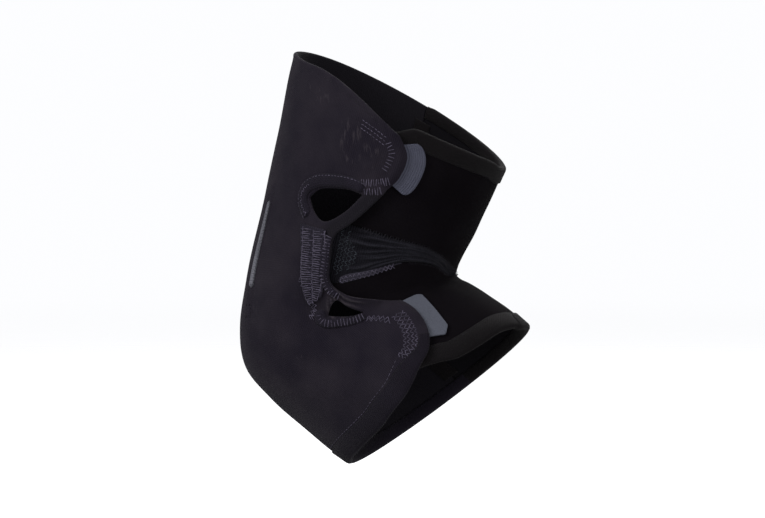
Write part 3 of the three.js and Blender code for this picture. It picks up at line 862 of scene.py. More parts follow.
# %% Pad
# Chains of stitches on the pad, from its outer to its inner edge
PAD_CHAINS = [
    [(110.3, 0.372), (108.2, 0.41), (106.6, 0.45), (104.2, 0.5), (100.3, 0.545), (97.3, 0.57)],
    [(103, 0.37), (101.3, 0.41), (99.8, 0.455), (98.2, 0.5), (96.3, 0.54), (95.4, 0.565)],
    [(96.6, 0.366), (94.6, 0.41), (93.6, 0.46), (93, 0.5), (92.6, 0.535), (93, 0.556)],
]
RIB_PITCH = 2.4
RIB_HEIGHT = 0.35
PAD_SINK = 0.1  # how deep the pad is pressed into the shell
PAD_THICKNESS = PAD_WALL + 2 * PAD_SINK
pad_chains = [line(rows, step=0.5) for rows in PAD_CHAINS]
pad_base = over(shell_surface, -PAD_SINK)


def pad_relief(x, y, edge=None):
    to_chain = np.min([distance_to(pairs(x, y), chain) for chain in pad_chains], axis=0)
    ribs = 0.5 + 0.5 * np.cos(2 * np.pi * (y + 0.12 * x) / RIB_PITCH)
    return RIB_HEIGHT * (ribs * step_up((to_chain - 0.6) / 1.2) - groove(to_chain, 0)) + 0.1


pad = cloth(
    "strap_pad_cloth", [np.vstack([line(PAD_INNER), line(PAD_OUTER)[::-1]])], pad_base, PAD_THICKNESS,
    0.6, rounding=1.2, relief=pad_relief,
)
print(pad.name, len(pad.data.polygons), "faces")

# %% [markdown]
# ## Thread
# Stitches repeat along a line, so Geometry Nodes make them. A line of points lies on the cloth and
# carries the cloth's outward direction. The tree spaces points evenly along it, puts a small arch
# of thread on each, and turns every second one the other way for a zigzag. A fixed seed varies
# them a little, as a sewing machine on soft cloth does.

# %% Helpers for node trees
def node(tree, kind, inputs=None, **settings):
    """Adds a node. settings are its own choices; inputs are values or the sockets they come from."""
    made = tree.nodes.new(kind)
    for key, value in settings.items():
        setattr(made, key, value)
    for key, value in (inputs or {}).items():
        if isinstance(value, bpy.types.NodeSocket):
            tree.links.new(value, made.inputs[key])
        else:
            made.inputs[key].default_value = value
    return made


def calc(operation, *values):
    """The result of a Math node, in the tree that its values come from."""
    tree = next(value.id_data for value in values if isinstance(value, bpy.types.NodeSocket))
    return node(tree, "ShaderNodeMath", dict(enumerate(values)), operation=operation).outputs[0]


def times(first, second):
    return calc("MULTIPLY", first, second)


def plus(first, second):
    return calc("ADD", first, second)


def xyz(tree, x=0.0, y=0.0, z=0.0):
    return node(tree, "ShaderNodeCombineXYZ", {0: x, 1: y, 2: z}).outputs[0]


def sockets(tree, side, kinds):
    """Gives a tree its named inputs or outputs, and returns their sockets inside it."""
    for name, kind in kinds.items():
        tree.interface.new_socket(name, in_out=side, socket_type="NodeSocket" + kind)
    if side == "INPUT":
        return tree.nodes.new("NodeGroupInput").outputs
    return tree.nodes.new("NodeGroupOutput").inputs


# %% The stitching tree
UNEVEN_TURN = 0.07  # radians by which a stitch turns too far, at most
UNEVEN_SIZE = (0.9, 1.08)


def stitching_tree():
    tree = bpy.data.node_groups.new("Stitching", "GeometryNodeTree")
    sizes = ("Pitch", "Length", "Thread", "Arch", "Turn", "Sway")
    kinds = {"Geometry": "Geometry", **dict.fromkeys(sizes, "Float"), "Material": "Material"}
    given = sockets(tree, "INPUT", kinds)
    result = sockets(tree, "OUTPUT", {"Geometry": "Geometry"})

    def first(kind, inputs=None, **settings):
        return node(tree, kind, inputs, **settings).outputs[0]

    def left_by_sew(name, kind="FLOAT"):
        return first("GeometryNodeInputNamedAttribute", {"Name": name}, data_type=kind)

    def between(least, most, seed):
        limits = {2: least, 3: most, "Seed": seed}
        return node(tree, "FunctionNodeRandomValue", limits).outputs[1]

    # One stitch: an arch that starts and ends under the cloth's face
    half = times(given["Length"], 0.5)
    sunk = times(given["Thread"], -1.2)
    arch = first("GeometryNodeCurveQuadraticBezier", {
        "Resolution": 5,
        "Start": xyz(tree, times(half, -1.0), z=sunk),
        "Middle": xyz(tree, z=given["Arch"]),
        "End": xyz(tree, half, z=sunk),
    })
    section = first("GeometryNodeCurvePrimitiveCircle", {"Resolution": 6, "Radius": given["Thread"]})
    sweep = {"Curve": arch, "Profile Curve": section, "Fill Caps": True}
    thread = first("GeometryNodeCurveToMesh", sweep)

    # Each stitch stands on the cloth, and every second one leans the other way
    curve = first("GeometryNodeMeshToCurve", {"Mesh": given["Geometry"]})
    points = first("GeometryNodeResampleCurve", {"Curve": curve, "Length": given["Pitch"]}, mode="LENGTH")
    out, tangent = left_by_sew("out", "FLOAT_VECTOR"), first("GeometryNodeInputTangent")
    upright = first(
        "FunctionNodeAxesToRotation", {"Primary Axis": out, "Secondary Axis": tangent},
        primary_axis="Z", secondary_axis="X",
    )
    index = node(tree, "GeometryNodeSplineParameter").outputs["Index"]
    every_other = calc("MULTIPLY_ADD", calc("MODULO", index, 2.0), 2.0, -1.0)
    lean = times(every_other, left_by_sew("phase"))
    uneven = between(-UNEVEN_TURN, UNEVEN_TURN, 5)
    angle = plus(given["Turn"], calc("MULTIPLY_ADD", lean, given["Sway"], uneven))
    spin = first("FunctionNodeAxisAngleToRotation", {"Axis": (0, 0, 1), "Angle": angle})
    turned = first(
        "FunctionNodeRotateRotation", {"Rotation": upright, "Rotate By": spin}, rotation_space="LOCAL"
    )
    size = between(*UNEVEN_SIZE, 11)
    scale = xyz(tree, times(size, left_by_sew("wide")), size, size)
    placed = first(
        "GeometryNodeInstanceOnPoints",
        {"Points": points, "Instance": thread, "Rotation": turned, "Scale": scale},
    )
    real = first("GeometryNodeRealizeInstances", {0: placed})
    smooth_faces = first("GeometryNodeSetShadeSmooth", {0: real})
    coloured = first("GeometryNodeSetMaterial", {0: smooth_faces, "Material": given["Material"]})
    tree.links.new(coloured, result[0])
    return tree


STITCHING = stitching_tree()
STITCH_INPUTS = {
    item.name: item.identifier for item in STITCHING.interface.items_tree if item.in_out == "INPUT"
}
print("inputs of the stitching tree:", list(STITCH_INPUTS))

# %% Sew along lines
# pitch, length, thread radius and arch in mm, then turn and sway in degrees
STITCHES = {
    "plain": (2.4, 1.7, 0.17, 0.25, 0, 0),
    "double": (2.0, 1.5, 0.2, 0.3, 0, 8),
    "zigzag": (1.25, 2.3, 0.2, 0.35, 0, 57),
    "lace": (1.15, 1.9, 0.2, 0.32, 0, 52),
    "bars": (1.7, 3.4, 0.22, 0.35, 90, 5),
    "dense_bars": (1.3, 4.0, 0.24, 0.42, 90, 6),
    "ladder": (RIB_PITCH / 2, 1.0, 0.24, 0.34, 90, 3),
    "chain": (1.2, 1.7, 0.3, 0.5, 0, 16),
    "flatlock": (1.5, 4.6, 0.2, 0.3, 90, 18),
}


def sew(name, style, paths, surface, material, widths=None):
    """Stitches of a style along paths that lie on a surface, as one mesh. Neighbouring rows lean
    in turn, and widths, one row for each path, stretches the stitches."""
    spots, directions, edges, phases, wides = [], [], [], [], []
    for row, path in enumerate(paths):
        x, y = path.T
        first = len(spots)
        spots.extend(laid(x, y, surface(x, y)).tolist())
        directions.extend(outward(x, y).tolist())
        edges += [(i, i + 1) for i in range(first, len(spots) - 1)]
        phases += [1.0 - 2 * (row % 2)] * len(path)
        wides.extend(np.ones(len(path)) if widths is None else widths[row])
    mesh = bpy.data.meshes.new(name)
    mesh.from_pydata(spots, edges, [])
    mesh.attributes.new("out", "FLOAT_VECTOR", "POINT").data.foreach_set("vector", np.ravel(directions))
    for label, values in (("phase", phases), ("wide", wides)):
        mesh.attributes.new(label, "FLOAT", "POINT").data.foreach_set("value", values)
    seam = added(name, mesh)
    modifier = seam.modifiers.new("stitches", "NODES")
    modifier.node_group = STITCHING
    *sizes, turn, sway = STITCHES[style]
    values = [size / 1000 for size in sizes] + [math.radians(turn), math.radians(sway), material]
    for label, value in zip(("Pitch", "Length", "Thread", "Arch", "Turn", "Sway", "Material"), values):
        modifier[STITCH_INPUTS[label]] = value
    done = bpy.data.meshes.new_from_object(seam.evaluated_get(bpy.context.evaluated_depsgraph_get()))
    seam.modifiers.clear()
    seam.data = done
    bpy.data.meshes.remove(mesh)
    done.name = name
    return seam


# %% [markdown]
# ## Effects that the materials share
# Knit, rubbing and weave are seen on many of the pieces, so each is a shader node group with its
# sizes as inputs. Knit and weave read the Pattern map, which is the flat cloth in metres, so rows of
# loops run with the cloth and keep their real size. Rubbing reads the place in space, because it
# doesn't follow the cut.

# %% Helpers for materials
def shader_group(name, sizes, build):
    """A group that reads a Vector and some sizes. build adds its nodes and returns its outputs."""
    tree = bpy.data.node_groups.new(name, "ShaderNodeTree")
    results = build(tree, sockets(tree, "INPUT", {"Vector": "Vector", **dict.fromkeys(sizes, "Float")}))
    taken = sockets(tree, "OUTPUT", dict.fromkeys(results, "Float"))
    for label, value in results.items():
        tree.links.new(value, taken[label])
    return tree


def noise(tree, place, scale, detail, output="Fac"):
    made = node(tree, "ShaderNodeTexNoise", {"Vector": place, "Scale": scale, "Detail": detail})
    return made.outputs[output]


def ranged(tree, value, start, end, low=0.0, high=1.0):
    """A value moved from one range to another, and held inside it."""
    ends = {"Value": value, "From Min": start, "From Max": end, "To Min": low, "To Max": high}
    return node(tree, "ShaderNodeMapRange", ends).outputs[0]


# %% Knit, rubbed and weave groups
# Scales of the noises, in waves for each metre
BEND_SCALE, CLOUD_SCALE, FIBRE_SCALE = 900.0, 38.0, 850.0
BEND = 0.0004  # how far noise moves the loops, in metres
LOOP_SLANT = 0.55
FIBRE_LEVEL = 0.72  # noise above this shows as fibres where nothing is rubbed
FIBRE_GAIN = 0.3  # how much rubbing lowers that level
FIBRE_SOFTNESS = 0.16


def knit(tree, given):
    """Rows of loops: a rounded rib for each column, crossed by slanting loops."""
    bend = noise(tree, given["Vector"], BEND_SCALE, 1.0, "Color")
    moved = node(tree, "ShaderNodeVectorMath", {0: bend, 1: (BEND,) * 3}, operation="MULTIPLY")
    place = node(tree, "ShaderNodeVectorMath", {0: given["Vector"], 1: moved.outputs[0]}, operation="ADD")
    parts = node(tree, "ShaderNodeSeparateXYZ", {0: place.outputs[0]}).outputs
    column = calc("FRACT", calc("DIVIDE", parts["X"], given["Column"]))
    from_middle = calc("ABSOLUTE", calc("MULTIPLY_ADD", column, 2.0, -1.0))
    rib = calc("SUBTRACT", 1.0, calc("POWER", from_middle, 2.5))
    slant = times(from_middle, LOOP_SLANT)
    row = plus(calc("DIVIDE", parts["Y"], given["Row"]), slant)
    loop = calc("COSINE", times(row, math.tau))
    return {"Height": times(rib, calc("MULTIPLY_ADD", loop, 0.25, 0.75))}


def rubbed(tree, given):
    """Uneven fuzz: broad clouds, and short fibres that show where the cloth is rubbed."""
    squeeze = {"Vector": given["Vector"], "Rotation": (0, 0.2, 0), "Scale": (1.0, 1.0, 0.22)}
    fine = noise(tree, node(tree, "ShaderNodeMapping", squeeze).outputs[0], FIBRE_SCALE, 3.0)
    level = calc("SUBTRACT", FIBRE_LEVEL, times(given["Amount"], FIBRE_GAIN))
    return {
        "Clouds": ranged(tree, noise(tree, given["Vector"], CLOUD_SCALE, 5.0), 0.35, 0.68),
        "Fibres": ranged(tree, fine, level, plus(level, FIBRE_SOFTNESS)),
    }


def weave(tree, given):
    """A plain weave: two sets of threads that pass over each other in turn."""
    parts = node(tree, "ShaderNodeSeparateXYZ", {0: given["Vector"]}).outputs
    turns = (calc("DIVIDE", parts[axis], given["Pitch"]) for axis in "XY")
    sides = [calc("SINE", times(turn, math.pi)) for turn in turns]
    warp, weft = (calc("ABSOLUTE", side) for side in sides)
    over_under = times(*(calc("SIGN", side) for side in sides))
    warp_over = calc("MULTIPLY_ADD", over_under, 0.5, 0.5)
    upper = times(warp, warp_over)
    lower = times(weft, calc("SUBTRACT", 1.0, warp_over))
    return {"Height": plus(upper, lower)}


KNIT = shader_group("Knit", ("Column", "Row"), knit)
RUBBED = shader_group("Rubbed", ("Amount",), rubbed)
WEAVE = shader_group("Weave", ("Pitch",), weave)
print("shared effects:", [tree.name for tree in (KNIT, RUBBED, WEAVE)])


# %% [markdown]
# ## Cloth materials
# All the cloths are dark and matt, and differ in small ways: the shell is charcoal with a violet
# cast and rubbed loops, the front panels are smoother and nearly black, the gusset is thin and
# shows its knit. Sheen gives the soft light edge that fibres have when light grazes them.

# %% One recipe for the cloths
LINING = (0.006, 0.0056, 0.007)
EDGE_FADE = 1.2  # millimetres over which the rubbed edge of a cloth fades
EDGE_WORN = 0.35
# How much of the rubbed colour the clouds and the painted highlight on pleat tops take, and the most that
# the fibres take
CLOUDS_SHARE, PLEAT_HIGHLIGHT_SHARE, FIBRES_LIMIT = 0.25, 0.6, 0.4
LINING_SHARE = 0.8  # of the lining's colour on the back of a cloth
FIBRES_HEIGHT = 0.6  # beside the height of the loops


def grouped(tree, group, **inputs):
    return node(tree, "ShaderNodeGroup", inputs, node_tree=group).outputs


def mixed(tree, amount, first, second):
    """The colour between two colours."""
    first, second = (c if isinstance(c, bpy.types.NodeSocket) else (*c, 1) for c in (first, second))
    return node(tree, "ShaderNodeMix", {0: amount, 6: first, 7: second}, data_type="RGBA").outputs[2]


def tinted(colour, share):
    return tuple(share * part for part in colour)


def blank_material(name, roughness, sheen, gloss=0.06):
    material = bpy.data.materials.new(name)
    material.use_nodes = True
    shader = material.node_tree.nodes["Principled BSDF"]
    looks = {"Roughness": roughness, "Sheen Weight": sheen, "Specular IOR Level": gloss}
    for label, value in {**looks, "Sheen Roughness": 0.4}.items():
        shader.inputs[label].default_value = value
    return material, material.node_tree, shader


def coordinates(tree):
    """The place on the flat cloth, and the place in space."""
    flat = node(tree, "ShaderNodeUVMap", uv_map="Pattern").outputs[0]
    return flat, node(tree, "ShaderNodeTexCoord").outputs["Object"]


def bump(tree, shader, height, distance):
    made = node(tree, "ShaderNodeBump", {"Height": height, "Distance": distance, "Strength": 1.0})
    tree.links.new(made.outputs[0], shader.inputs["Normal"])


def mark(tree, name):
    """The value that the cloth maker left on the points of a mesh."""
    return node(tree, "ShaderNodeAttribute", attribute_name=name).outputs["Fac"]


def knit_cloth(name, colour, deep, rubbed, column, row, sheen, depth, base_wear, gloss=0.06):
    """Knitted cloth. deep is the colour between the loops, rubbed that of loose fibres and of the painted
    highlight on pleats.
    """
    material, tree, shader = blank_material(name, 0.95, sheen, gloss)
    flat, solid = coordinates(tree)
    rim = ranged(tree, mark(tree, "edge"), EDGE_FADE, 0.0, 0.0, EDGE_WORN)
    amount = plus(calc("MAXIMUM", mark(tree, "worn"), rim), base_wear)
    loops = grouped(tree, KNIT, Vector=flat, Column=column, Row=row)["Height"]
    fuzz = grouped(tree, RUBBED, Vector=solid, Amount=amount)
    body = mixed(tree, loops, deep, colour)
    # The clouds are uneven tone, the pleat mark paints a highlight on pleat tops, and the fibres show
    # wear
    for share in (
        times(fuzz["Clouds"], CLOUDS_SHARE),
        times(mark(tree, "pleat"), PLEAT_HIGHLIGHT_SHARE),
        times(fuzz["Fibres"], calc("MINIMUM", amount, FIBRES_LIMIT)),
    ):
        body = mixed(tree, share, body, rubbed)
    # The back of the cloth takes the lining's colour, and the strip beside the upper window is coloured
    # darker towards it
    lined = times(mark(tree, "back"), LINING_SHARE)
    body = mixed(tree, calc("MAXIMUM", lined, mark(tree, "dark_strip")), body, LINING)
    tree.links.new(body, shader.inputs["Base Color"])
    relief = plus(loops, times(fuzz["Fibres"], FIBRES_HEIGHT))
    bump(tree, shader, relief, depth)
    return material


shell_knit = knit_cloth(
    "shell_knit", colour=(0.0108, 0.0088, 0.0146), deep=(0.006, 0.0048, 0.0082),
    rubbed=(0.038, 0.032, 0.038),
    column=0.0009, row=0.0008, sheen=0.03, depth=0.00016, base_wear=0.12,
)
front_knit = knit_cloth(
    "front_knit", colour=(0.0032, 0.0024, 0.0033), deep=(0.0022, 0.0017, 0.0023),
    rubbed=(0.008, 0.0068, 0.0088),
    column=0.0007, row=0.0006, sheen=0.006, depth=0.0001, base_wear=0.02, gloss=0.025,
)
stretch_knit = knit_cloth(
    "stretch_knit", colour=(0.0058, 0.0055, 0.0076), deep=(0.0017, 0.0016, 0.0025),
    rubbed=(0.024, 0.0235, 0.031),
    column=0.0013, row=0.0012, sheen=0.025, depth=0.0004, base_wear=0.2, gloss=0.04,
)
pad_cloth = knit_cloth(
    "stitched_pad", colour=(0.0125, 0.0108, 0.0168), deep=(0.0045, 0.004, 0.0064),
    rubbed=(0.034, 0.03, 0.044),
    column=0.0012, row=0.0012, sheen=0.03, depth=0.0003, base_wear=0.2,
)


# %% Tapes, hook tape and thread
TAPE_RUBBED = 0.3  # how much the tapes are rubbed
TAPE_FUZZ = 0.4  # the share of the clouds and fibres that shows
TAPE_LIGHT = 1.7  # the tint of the clouds
# Scales of the noises, in waves for each metre
HOOK_SPECKS, HOOK_CLOUDS, THREAD_CLOUDS = 1100.0, 90.0, 420.0
DARK_TINT, HOOK_LIGHT, THREAD_LIGHT = 0.55, 1.35, 1.25


def tape_material(name, colour, deep, pitch, depth=0.0002):
    """Woven tape, with clouds of a lighter tint."""
    material, tree, shader = blank_material(name, 0.88, 0.03, 0.05)
    flat, solid = coordinates(tree)
    threads = grouped(tree, WEAVE, Vector=flat, Pitch=pitch)["Height"]
    fuzz = grouped(tree, RUBBED, Vector=solid, Amount=TAPE_RUBBED)
    clouds, fibres = (times(fuzz[label], TAPE_FUZZ) for label in ("Clouds", "Fibres"))
    body = mixed(tree, clouds, mixed(tree, threads, deep, colour), tinted(colour, TAPE_LIGHT))
    tree.links.new(body, shader.inputs["Base Color"])
    bump(tree, shader, plus(threads, fibres), depth)
    return material


shell_hem_cloth = tape_material("shell_hem", (0.0082, 0.0067, 0.0108), (0.0048, 0.0039, 0.0062), 0.0007)
front_hem_cloth = tape_material("front_hem", (0.0056, 0.0047, 0.0054), (0.0032, 0.0027, 0.0032), 0.0007)
binding_tape = tape_material("binding", (0.0112, 0.0094, 0.015), (0.006, 0.005, 0.008), 0.0008)
strip_tape = tape_material("seam_tape", (0.022, 0.02, 0.028), (0.008, 0.0072, 0.011), 0.0009)
piping_tape = tape_material("piping", (0.105, 0.105, 0.122), (0.045, 0.045, 0.055), 0.0006, 0.00025)


def hook_tape(name, colour, ridge, ridge_depth):
    """Moulded tape with ridges that follow the flap's end, and small uneven specks."""
    material, tree, shader = blank_material(name, 0.7, 0.02)
    solid = coordinates(tree)[1]
    turn = times(mark(tree, "reach"), math.tau / ridge)
    ridges = calc("MULTIPLY_ADD", calc("SINE", turn), 0.5, 0.5)
    specks, broad = (noise(tree, solid, scale, 3.0) for scale in (HOOK_SPECKS, HOOK_CLOUDS))
    shade = calc("MULTIPLY_ADD", ridges, 0.45 * ridge_depth, times(specks, 0.9))
    body = mixed(tree, shade, tinted(colour, DARK_TINT), colour)
    body = mixed(tree, times(broad, 0.5), body, tinted(colour, HOOK_LIGHT))
    tree.links.new(body, shader.inputs["Base Color"])
    bump(tree, shader, calc("MULTIPLY_ADD", ridges, ridge_depth, specks), 0.0003)
    return material


upper_hook = hook_tape("upper_hook_tape", (0.055, 0.057, 0.08), 1.15, 0.9)
lower_hook = hook_tape("lower_hook_tape", (0.068, 0.072, 0.091), 1.0, 0.15)


def thread_material(name, colour):
    material, tree, shader = blank_material(name, 0.7, 0.05)
    uneven = ranged(tree, noise(tree, coordinates(tree)[1], THREAD_CLOUDS, 2.0), 0.35, 0.65)
    body = mixed(tree, uneven, tinted(colour, DARK_TINT), tinted(colour, THREAD_LIGHT))
    tree.links.new(body, shader.inputs["Base Color"])
    return material


light_thread = thread_material("light_thread", (0.06, 0.053, 0.077))
slate_thread = thread_material("slate_thread", (0.022, 0.026, 0.032))
dark_thread = thread_material("dark_thread", (0.011, 0.01, 0.0135))
print("materials:", len(bpy.data.materials))

# %% [markdown]
# ## The seams of the brace
# Every row of stitches that the photograph shows has a reason: they hold the hook tape under the
# flap ends, the turned hems, the window bindings and the pad. The rows lie at a distance from a
# line of the pattern.

# %% Rows on the shell
def close(path, step=0.8):
    return even(path, step)


def row(path, aside, start, end):
    """The part of a line of stitches that lies beside a path."""
    return close(stretch(beside(path, aside), start, end))


shell_rows = [
    ("hem_row", "plain", light_thread, [row(hem_path, -HEM_WIDTH - 0.8, 0.095, 0.97)]),
    ("top_row", "plain", dark_thread, [row(top_line, TOP_FOLD + 0.4, 0.03, 0.97)]),
    ("upper_bars", "bars", light_thread, [row(upper_end, -7.4, 0.08, 0.74)]),
    ("upper_dashes", "double", light_thread, [
        line([(91, share), (85, share + 0.003), (79, share + 0.01)]) for share in (0.022, 0.034, 0.046)
    ]),
    ("upper_neck", "dense_bars", light_thread, [
        line([(84.5, 0.19), (76.5, 0.172), (71.5, 0.152)]), line([(82, 0.212), (77, 0.2), (74, 0.19)]),
    ]),
    ("lower_comb", "zigzag", light_thread, [
        row(lower_end, -inset, 0.2, 0.97) for inset in (5.4, 7.2, 9.0, 10.8)
    ]),
    ("lower_neck", "zigzag", light_thread, [
        line([(72, 0.69), (68.5, 0.71), (65, 0.745)]), line([(72, 0.702), (69, 0.724), (66, 0.757)]),
    ]),
    ("stay_rows", "double", dark_thread, [line([(at, 0.325), (at, 0.6)]) for at in (142, 147.5, 158)]),
    ("stay_end", "zigzag", dark_thread, [line([(142, at), (147.5, at)]) for at in (0.555, 0.575)]),
    ("strap_row", "plain", dark_thread, [row(strap_line, -2.0, 0.04, 0.32)]),
]
sewn = [
    (sew("shell_" + name, style, paths, shell_surface, thread), "shell_knit")
    for name, style, thread, paths in shell_rows
]
print("rows on the shell:", len(sewn))

# %% Rows on the trims
WELT_TOP = 1.32  # heights at which the thread lies on each trim
WELT_SIDE = 0.95
CORD_TOP = 1.5
TAPE_TOP = 0.85
TAIL_TOP = 0.3
CHAIN_WIDTH = 0.9  # what the chains take from the rungs between them
RUNG_PLACES = 60


def on_pad(x, y):
    return pad_base(x, y) + PAD_THICKNESS + pad_relief(x, y)


def evenly(path, count):
    share, own = np.linspace(0, 1, count), np.linspace(0, 1, len(path))
    return pairs(*(np.interp(share, own, side) for side in path.T))


ladders, ladder_widths = [], []
for first, second in zip(pad_chains, pad_chains[1:]):
    first, second = evenly(first, RUNG_PLACES), evenly(second, RUNG_PLACES)
    ladders.append((first + second) / 2)
    ladder_widths.append(np.hypot(*(second - first).T) - CHAIN_WIDTH)
tail = line([(105.8, 0.503), (100.8, 0.535), (96.6, 0.567), (95.6, 0.59), (97.5, 0.612)], step=0.8)
tape_rows = [close(beside(stretch(tape_path, 0.04, 0.85), side)) for side in (-1.0, 0.8)]
welt_top, welt_side, cord_top, tail_top = (
    over(shell_surface, height) for height in (WELT_TOP, WELT_SIDE, CORD_TOP, TAIL_TOP)
)
trim_rows = [
    ("upper_welt_row", "double", [row(upper_rim, -TRIM_INSET - 5.2, 0.04, 0.96)], welt_side, "binding"),
    ("upper_welt_loop", "zigzag", [row(upper_welt_path, 0, 0.74, 0.97)], welt_top, "binding"),
    ("lower_welt_bars", "bars", [row(lower_welt_path, 0, 0.12, 0.95)], welt_top, "binding"),
    ("pad_chains", "chain", pad_chains, on_pad, "stitched_pad"),
    ("pad_tail", "zigzag", [tail, beside(tail, 1.3)], tail_top, "stitched_pad"),
    ("strap_cord_row", "bars", [close(strap_path)], cord_top, "binding"),
    ("tape_rows", "lace", tape_rows, over(on_gusset, TAPE_TOP), "stretch_knit"),
]
for name, style, paths, surface, slot in trim_rows:
    sewn.append((sew(name, style, paths, surface, light_thread), slot))
sewn.append((sew("pad_ladder", "ladder", ladders, on_pad, light_thread, ladder_widths), "stitched_pad"))

# %% Rows on the front pieces
fold_top = over(on_skin, WALL + HEM_WALL)
near_top = over(on_skin, WALL - 0.15)
gusset_top_line, gusset_bottom_line = line(GUSSET_TOP), line(GUSSET_BOTTOM)
seam_path = close([(INNER_SEAM * DEGREE, 1.0), (INNER_SEAM * DEGREE, ARM_LENGTH - 1.0)])
top_hem_path = row(front_top_line, HEM_WIDTH - 1.4, 0.01, 0.96)
bottom_hem_path = row(front_bottom_line, 1.4 - HEM_WIDTH, 0.01, 0.96)
front_rows = [
    ("top_hem_row", "plain", top_hem_path, fold_top, "front_hem"),
    ("bottom_hem_row", "plain", bottom_hem_path, fold_top, "front_hem"),
    ("inner_seam", "flatlock", seam_path, near_top, "front_knit"),
    ("gusset_top_seam", "flatlock", row(gusset_top_line, 0, 0, 0.93), near_top, "front_knit"),
    ("gusset_low_seam", "flatlock", row(gusset_bottom_line, 0, 0, 0.75), near_top, "front_knit"),
]
for name, style, path, surface, slot in front_rows:
    sewn.append((sew(name, style, [path], surface, dark_thread), slot))


def down_gusset(degrees, start, end):
    """A line down the gusset, between two shares of the way across it."""
    x = degrees * DEGREE
    top, bottom = (float(edge) for edge in gusset_edges(x))
    return close([(x, top + (bottom - top) * share) for share in (start, end)])


# degrees, then shares of the way across the gusset
MESH_ROWS = [
    (89.2, 0.12, 0.74), (87.1, 0.2, 0.84), (85, 0.12, 0.78),
    (82.9, 0.28, 0.7), (80.8, 0.36, 0.76), (78.7, 0.45, 0.66),
]
mesh_rows = [down_gusset(*place) for place in MESH_ROWS]
on_pleats = over(full_pleats, GUSSET_WALL)
sewn.append((sew("gusset_mesh", "lace", mesh_rows, on_pleats, slate_thread), "stretch_knit"))
print("stitched meshes:", len(sewn), "faces:", sum(len(piece.data.polygons) for piece, _ in sewn))

# %% Seam tape behind the butted seams
flat_tape = [(-4, -0.6), (-3.4, -0.66), (3.4, -0.66), (4, -0.6), (4, -0.08), (-4, -0.08)]
behind = [
    carry(name, path, flat_tape, on_skin)
    for name, path in (
        ("inner_seam_tape", seam_path[9:-9]),
        ("gusset_top_tape", gusset_top_line),
        ("gusset_low_tape", gusset_bottom_line),
    )
]
print("tapes behind seams:", len(behind))

# %% [markdown]
# ## Dress the frame
# Each piece rides the only body of the frame. A piece that stands for a imported solid replaces it.

# %% Pieces, what they replace, and their finish
DRESSED = [
    (shell, "outer_shell", "shell_knit", shell_knit),
    (upper_front, "upper_front_panel", "front_knit", front_knit),
    (lower_front, "lower_front_panel", "front_knit", front_knit),
    (gusset, "crook_gusset", "stretch_knit", stretch_knit),
    (pad, "strap_pad", "stitched_pad", pad_cloth),
    (upper_tab, "upper_hook_tab", "hook_tab", upper_hook),
    (lower_tab, "lower_hook_tab", "hook_tab", lower_hook),
    (upper_welt, "upper_window_binding", "binding", binding_tape),
    (lower_welt, "lower_window_binding", "binding", binding_tape),
    (shell_hem, "shell_bottom_hem", "shell_hem", shell_hem_cloth),
    (top_hem, "front_top_hem", "front_hem", front_hem_cloth),
    (bottom_hem, "front_bottom_hem", "front_hem", front_hem_cloth),
    (stay, "stay_piping", "piping", piping_tape),
    (strap_cord, None, "binding", binding_tape),
    (gusset_tape, None, "stretch_knit", strip_tape),
    *((tape, None, "front_knit", front_hem_cloth) for tape in behind),
    *((seam, None, slot, None) for seam, slot in sewn),
]
for piece, replaced, slot, material in DRESSED:
    if material:
        piece.data.materials.append(material)
    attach(piece, "root")
    if replaced:
        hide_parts(replaced)
print("pieces:", len(DRESSED))


# %% [markdown]
# ## Floor and light
# The floor is plain and pale. It fades out far from the brace, so that no horizon shows. The light
# is that of a bright room with three large soft lamps. The floor and the wall of the room are seen
# as nearly white, but they light the cloth less, because dark cloth in a white room looks grey.

# %% Floor
FLOOR_DROP = 0.1
FLOOR_SIZE = 4.0
FLOOR_FADE = (0.5, 2.4)  # metres from its middle between which the floor fades out
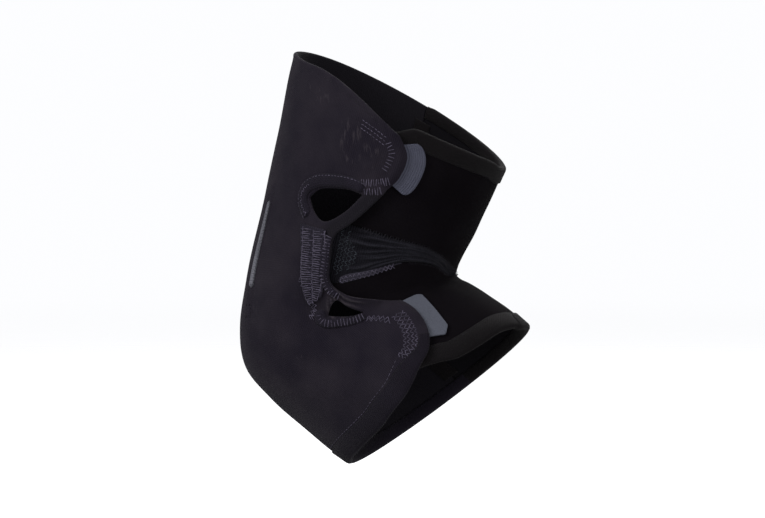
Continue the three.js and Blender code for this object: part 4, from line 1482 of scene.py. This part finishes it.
# Greys of the floor: as the camera sees them, then as they count for the light on the brace
FLOOR_COLOUR, FLOOR_BOUNCE = (0.8, 0.8, 0.81), (0.35, 0.35, 0.35)
FLOOR_GLOW, FLOOR_LIGHT = (0.4, 0.4, 0.4), (0.05, 0.05, 0.05)
floor_mesh = bpy.data.meshes.new("floor")
corners = [(-1, -1), (1, -1), (1, 1), (-1, 1)]
floor_mesh.from_pydata([(x * FLOOR_SIZE, y * FLOOR_SIZE, 0) for x, y in corners], [], [(0, 1, 2, 3)])
floor = added("floor", floor_mesh)
floor.location.z = low.z - FLOOR_DROP
floor_finish, tree, shader = blank_material("pale_floor", 0.9, 0.0)
place = node(tree, "ShaderNodeTexCoord").outputs["Object"]
far = node(tree, "ShaderNodeVectorMath", {0: place}, operation="LENGTH").outputs["Value"]
tree.links.new(ranged(tree, far, *FLOOR_FADE, 1.0, 0.0), shader.inputs["Alpha"])
seen = node(tree, "ShaderNodeLightPath").outputs["Is Camera Ray"]
tree.links.new(mixed(tree, seen, FLOOR_BOUNCE, FLOOR_COLOUR), shader.inputs["Base Color"])
tree.links.new(mixed(tree, seen, FLOOR_LIGHT, FLOOR_GLOW), shader.inputs["Emission Color"])
shader.inputs["Emission Strength"].default_value = 1.0
floor.data.materials.append(floor_finish)

# %% Lights
# Azimuth and elevation in degrees, distance and size in metres, and power in watts
LAMPS = {
    "key": (-38, 34, 1.5, 0.8, 20),
    "fill": (50, 10, 1.8, 1.0, 12.5),
    "rim": (175, 35, 1.6, 0.8, 15),
}
for name, (azimuth, elevation, distance, size, power) in LAMPS.items():
    lamp = bpy.data.lights.new(name, "AREA")
    lamp.size = size
    lamp.energy = power
    aim(added(name, lamp), azimuth, elevation, distance)

SKY_COLOUR = (0.98, 0.985, 1, 1)
SKY_LIGHT = 0.55  # the share of the sky's light that reaches the brace
world = bpy.data.worlds.new("studio")
world.use_nodes = True
tree = world.node_tree
sky = tree.nodes["Background"]
sky.inputs["Color"].default_value = SKY_COLOUR
seen = node(tree, "ShaderNodeLightPath").outputs["Is Camera Ray"]
tree.links.new(calc("MULTIPLY_ADD", seen, 1.0 - SKY_LIGHT, SKY_LIGHT), sky.inputs["Strength"])
bpy.context.scene.world = world
bpy.context.scene.view_settings.view_transform = "Standard"
print("lights:", len(LAMPS), "and the sky")
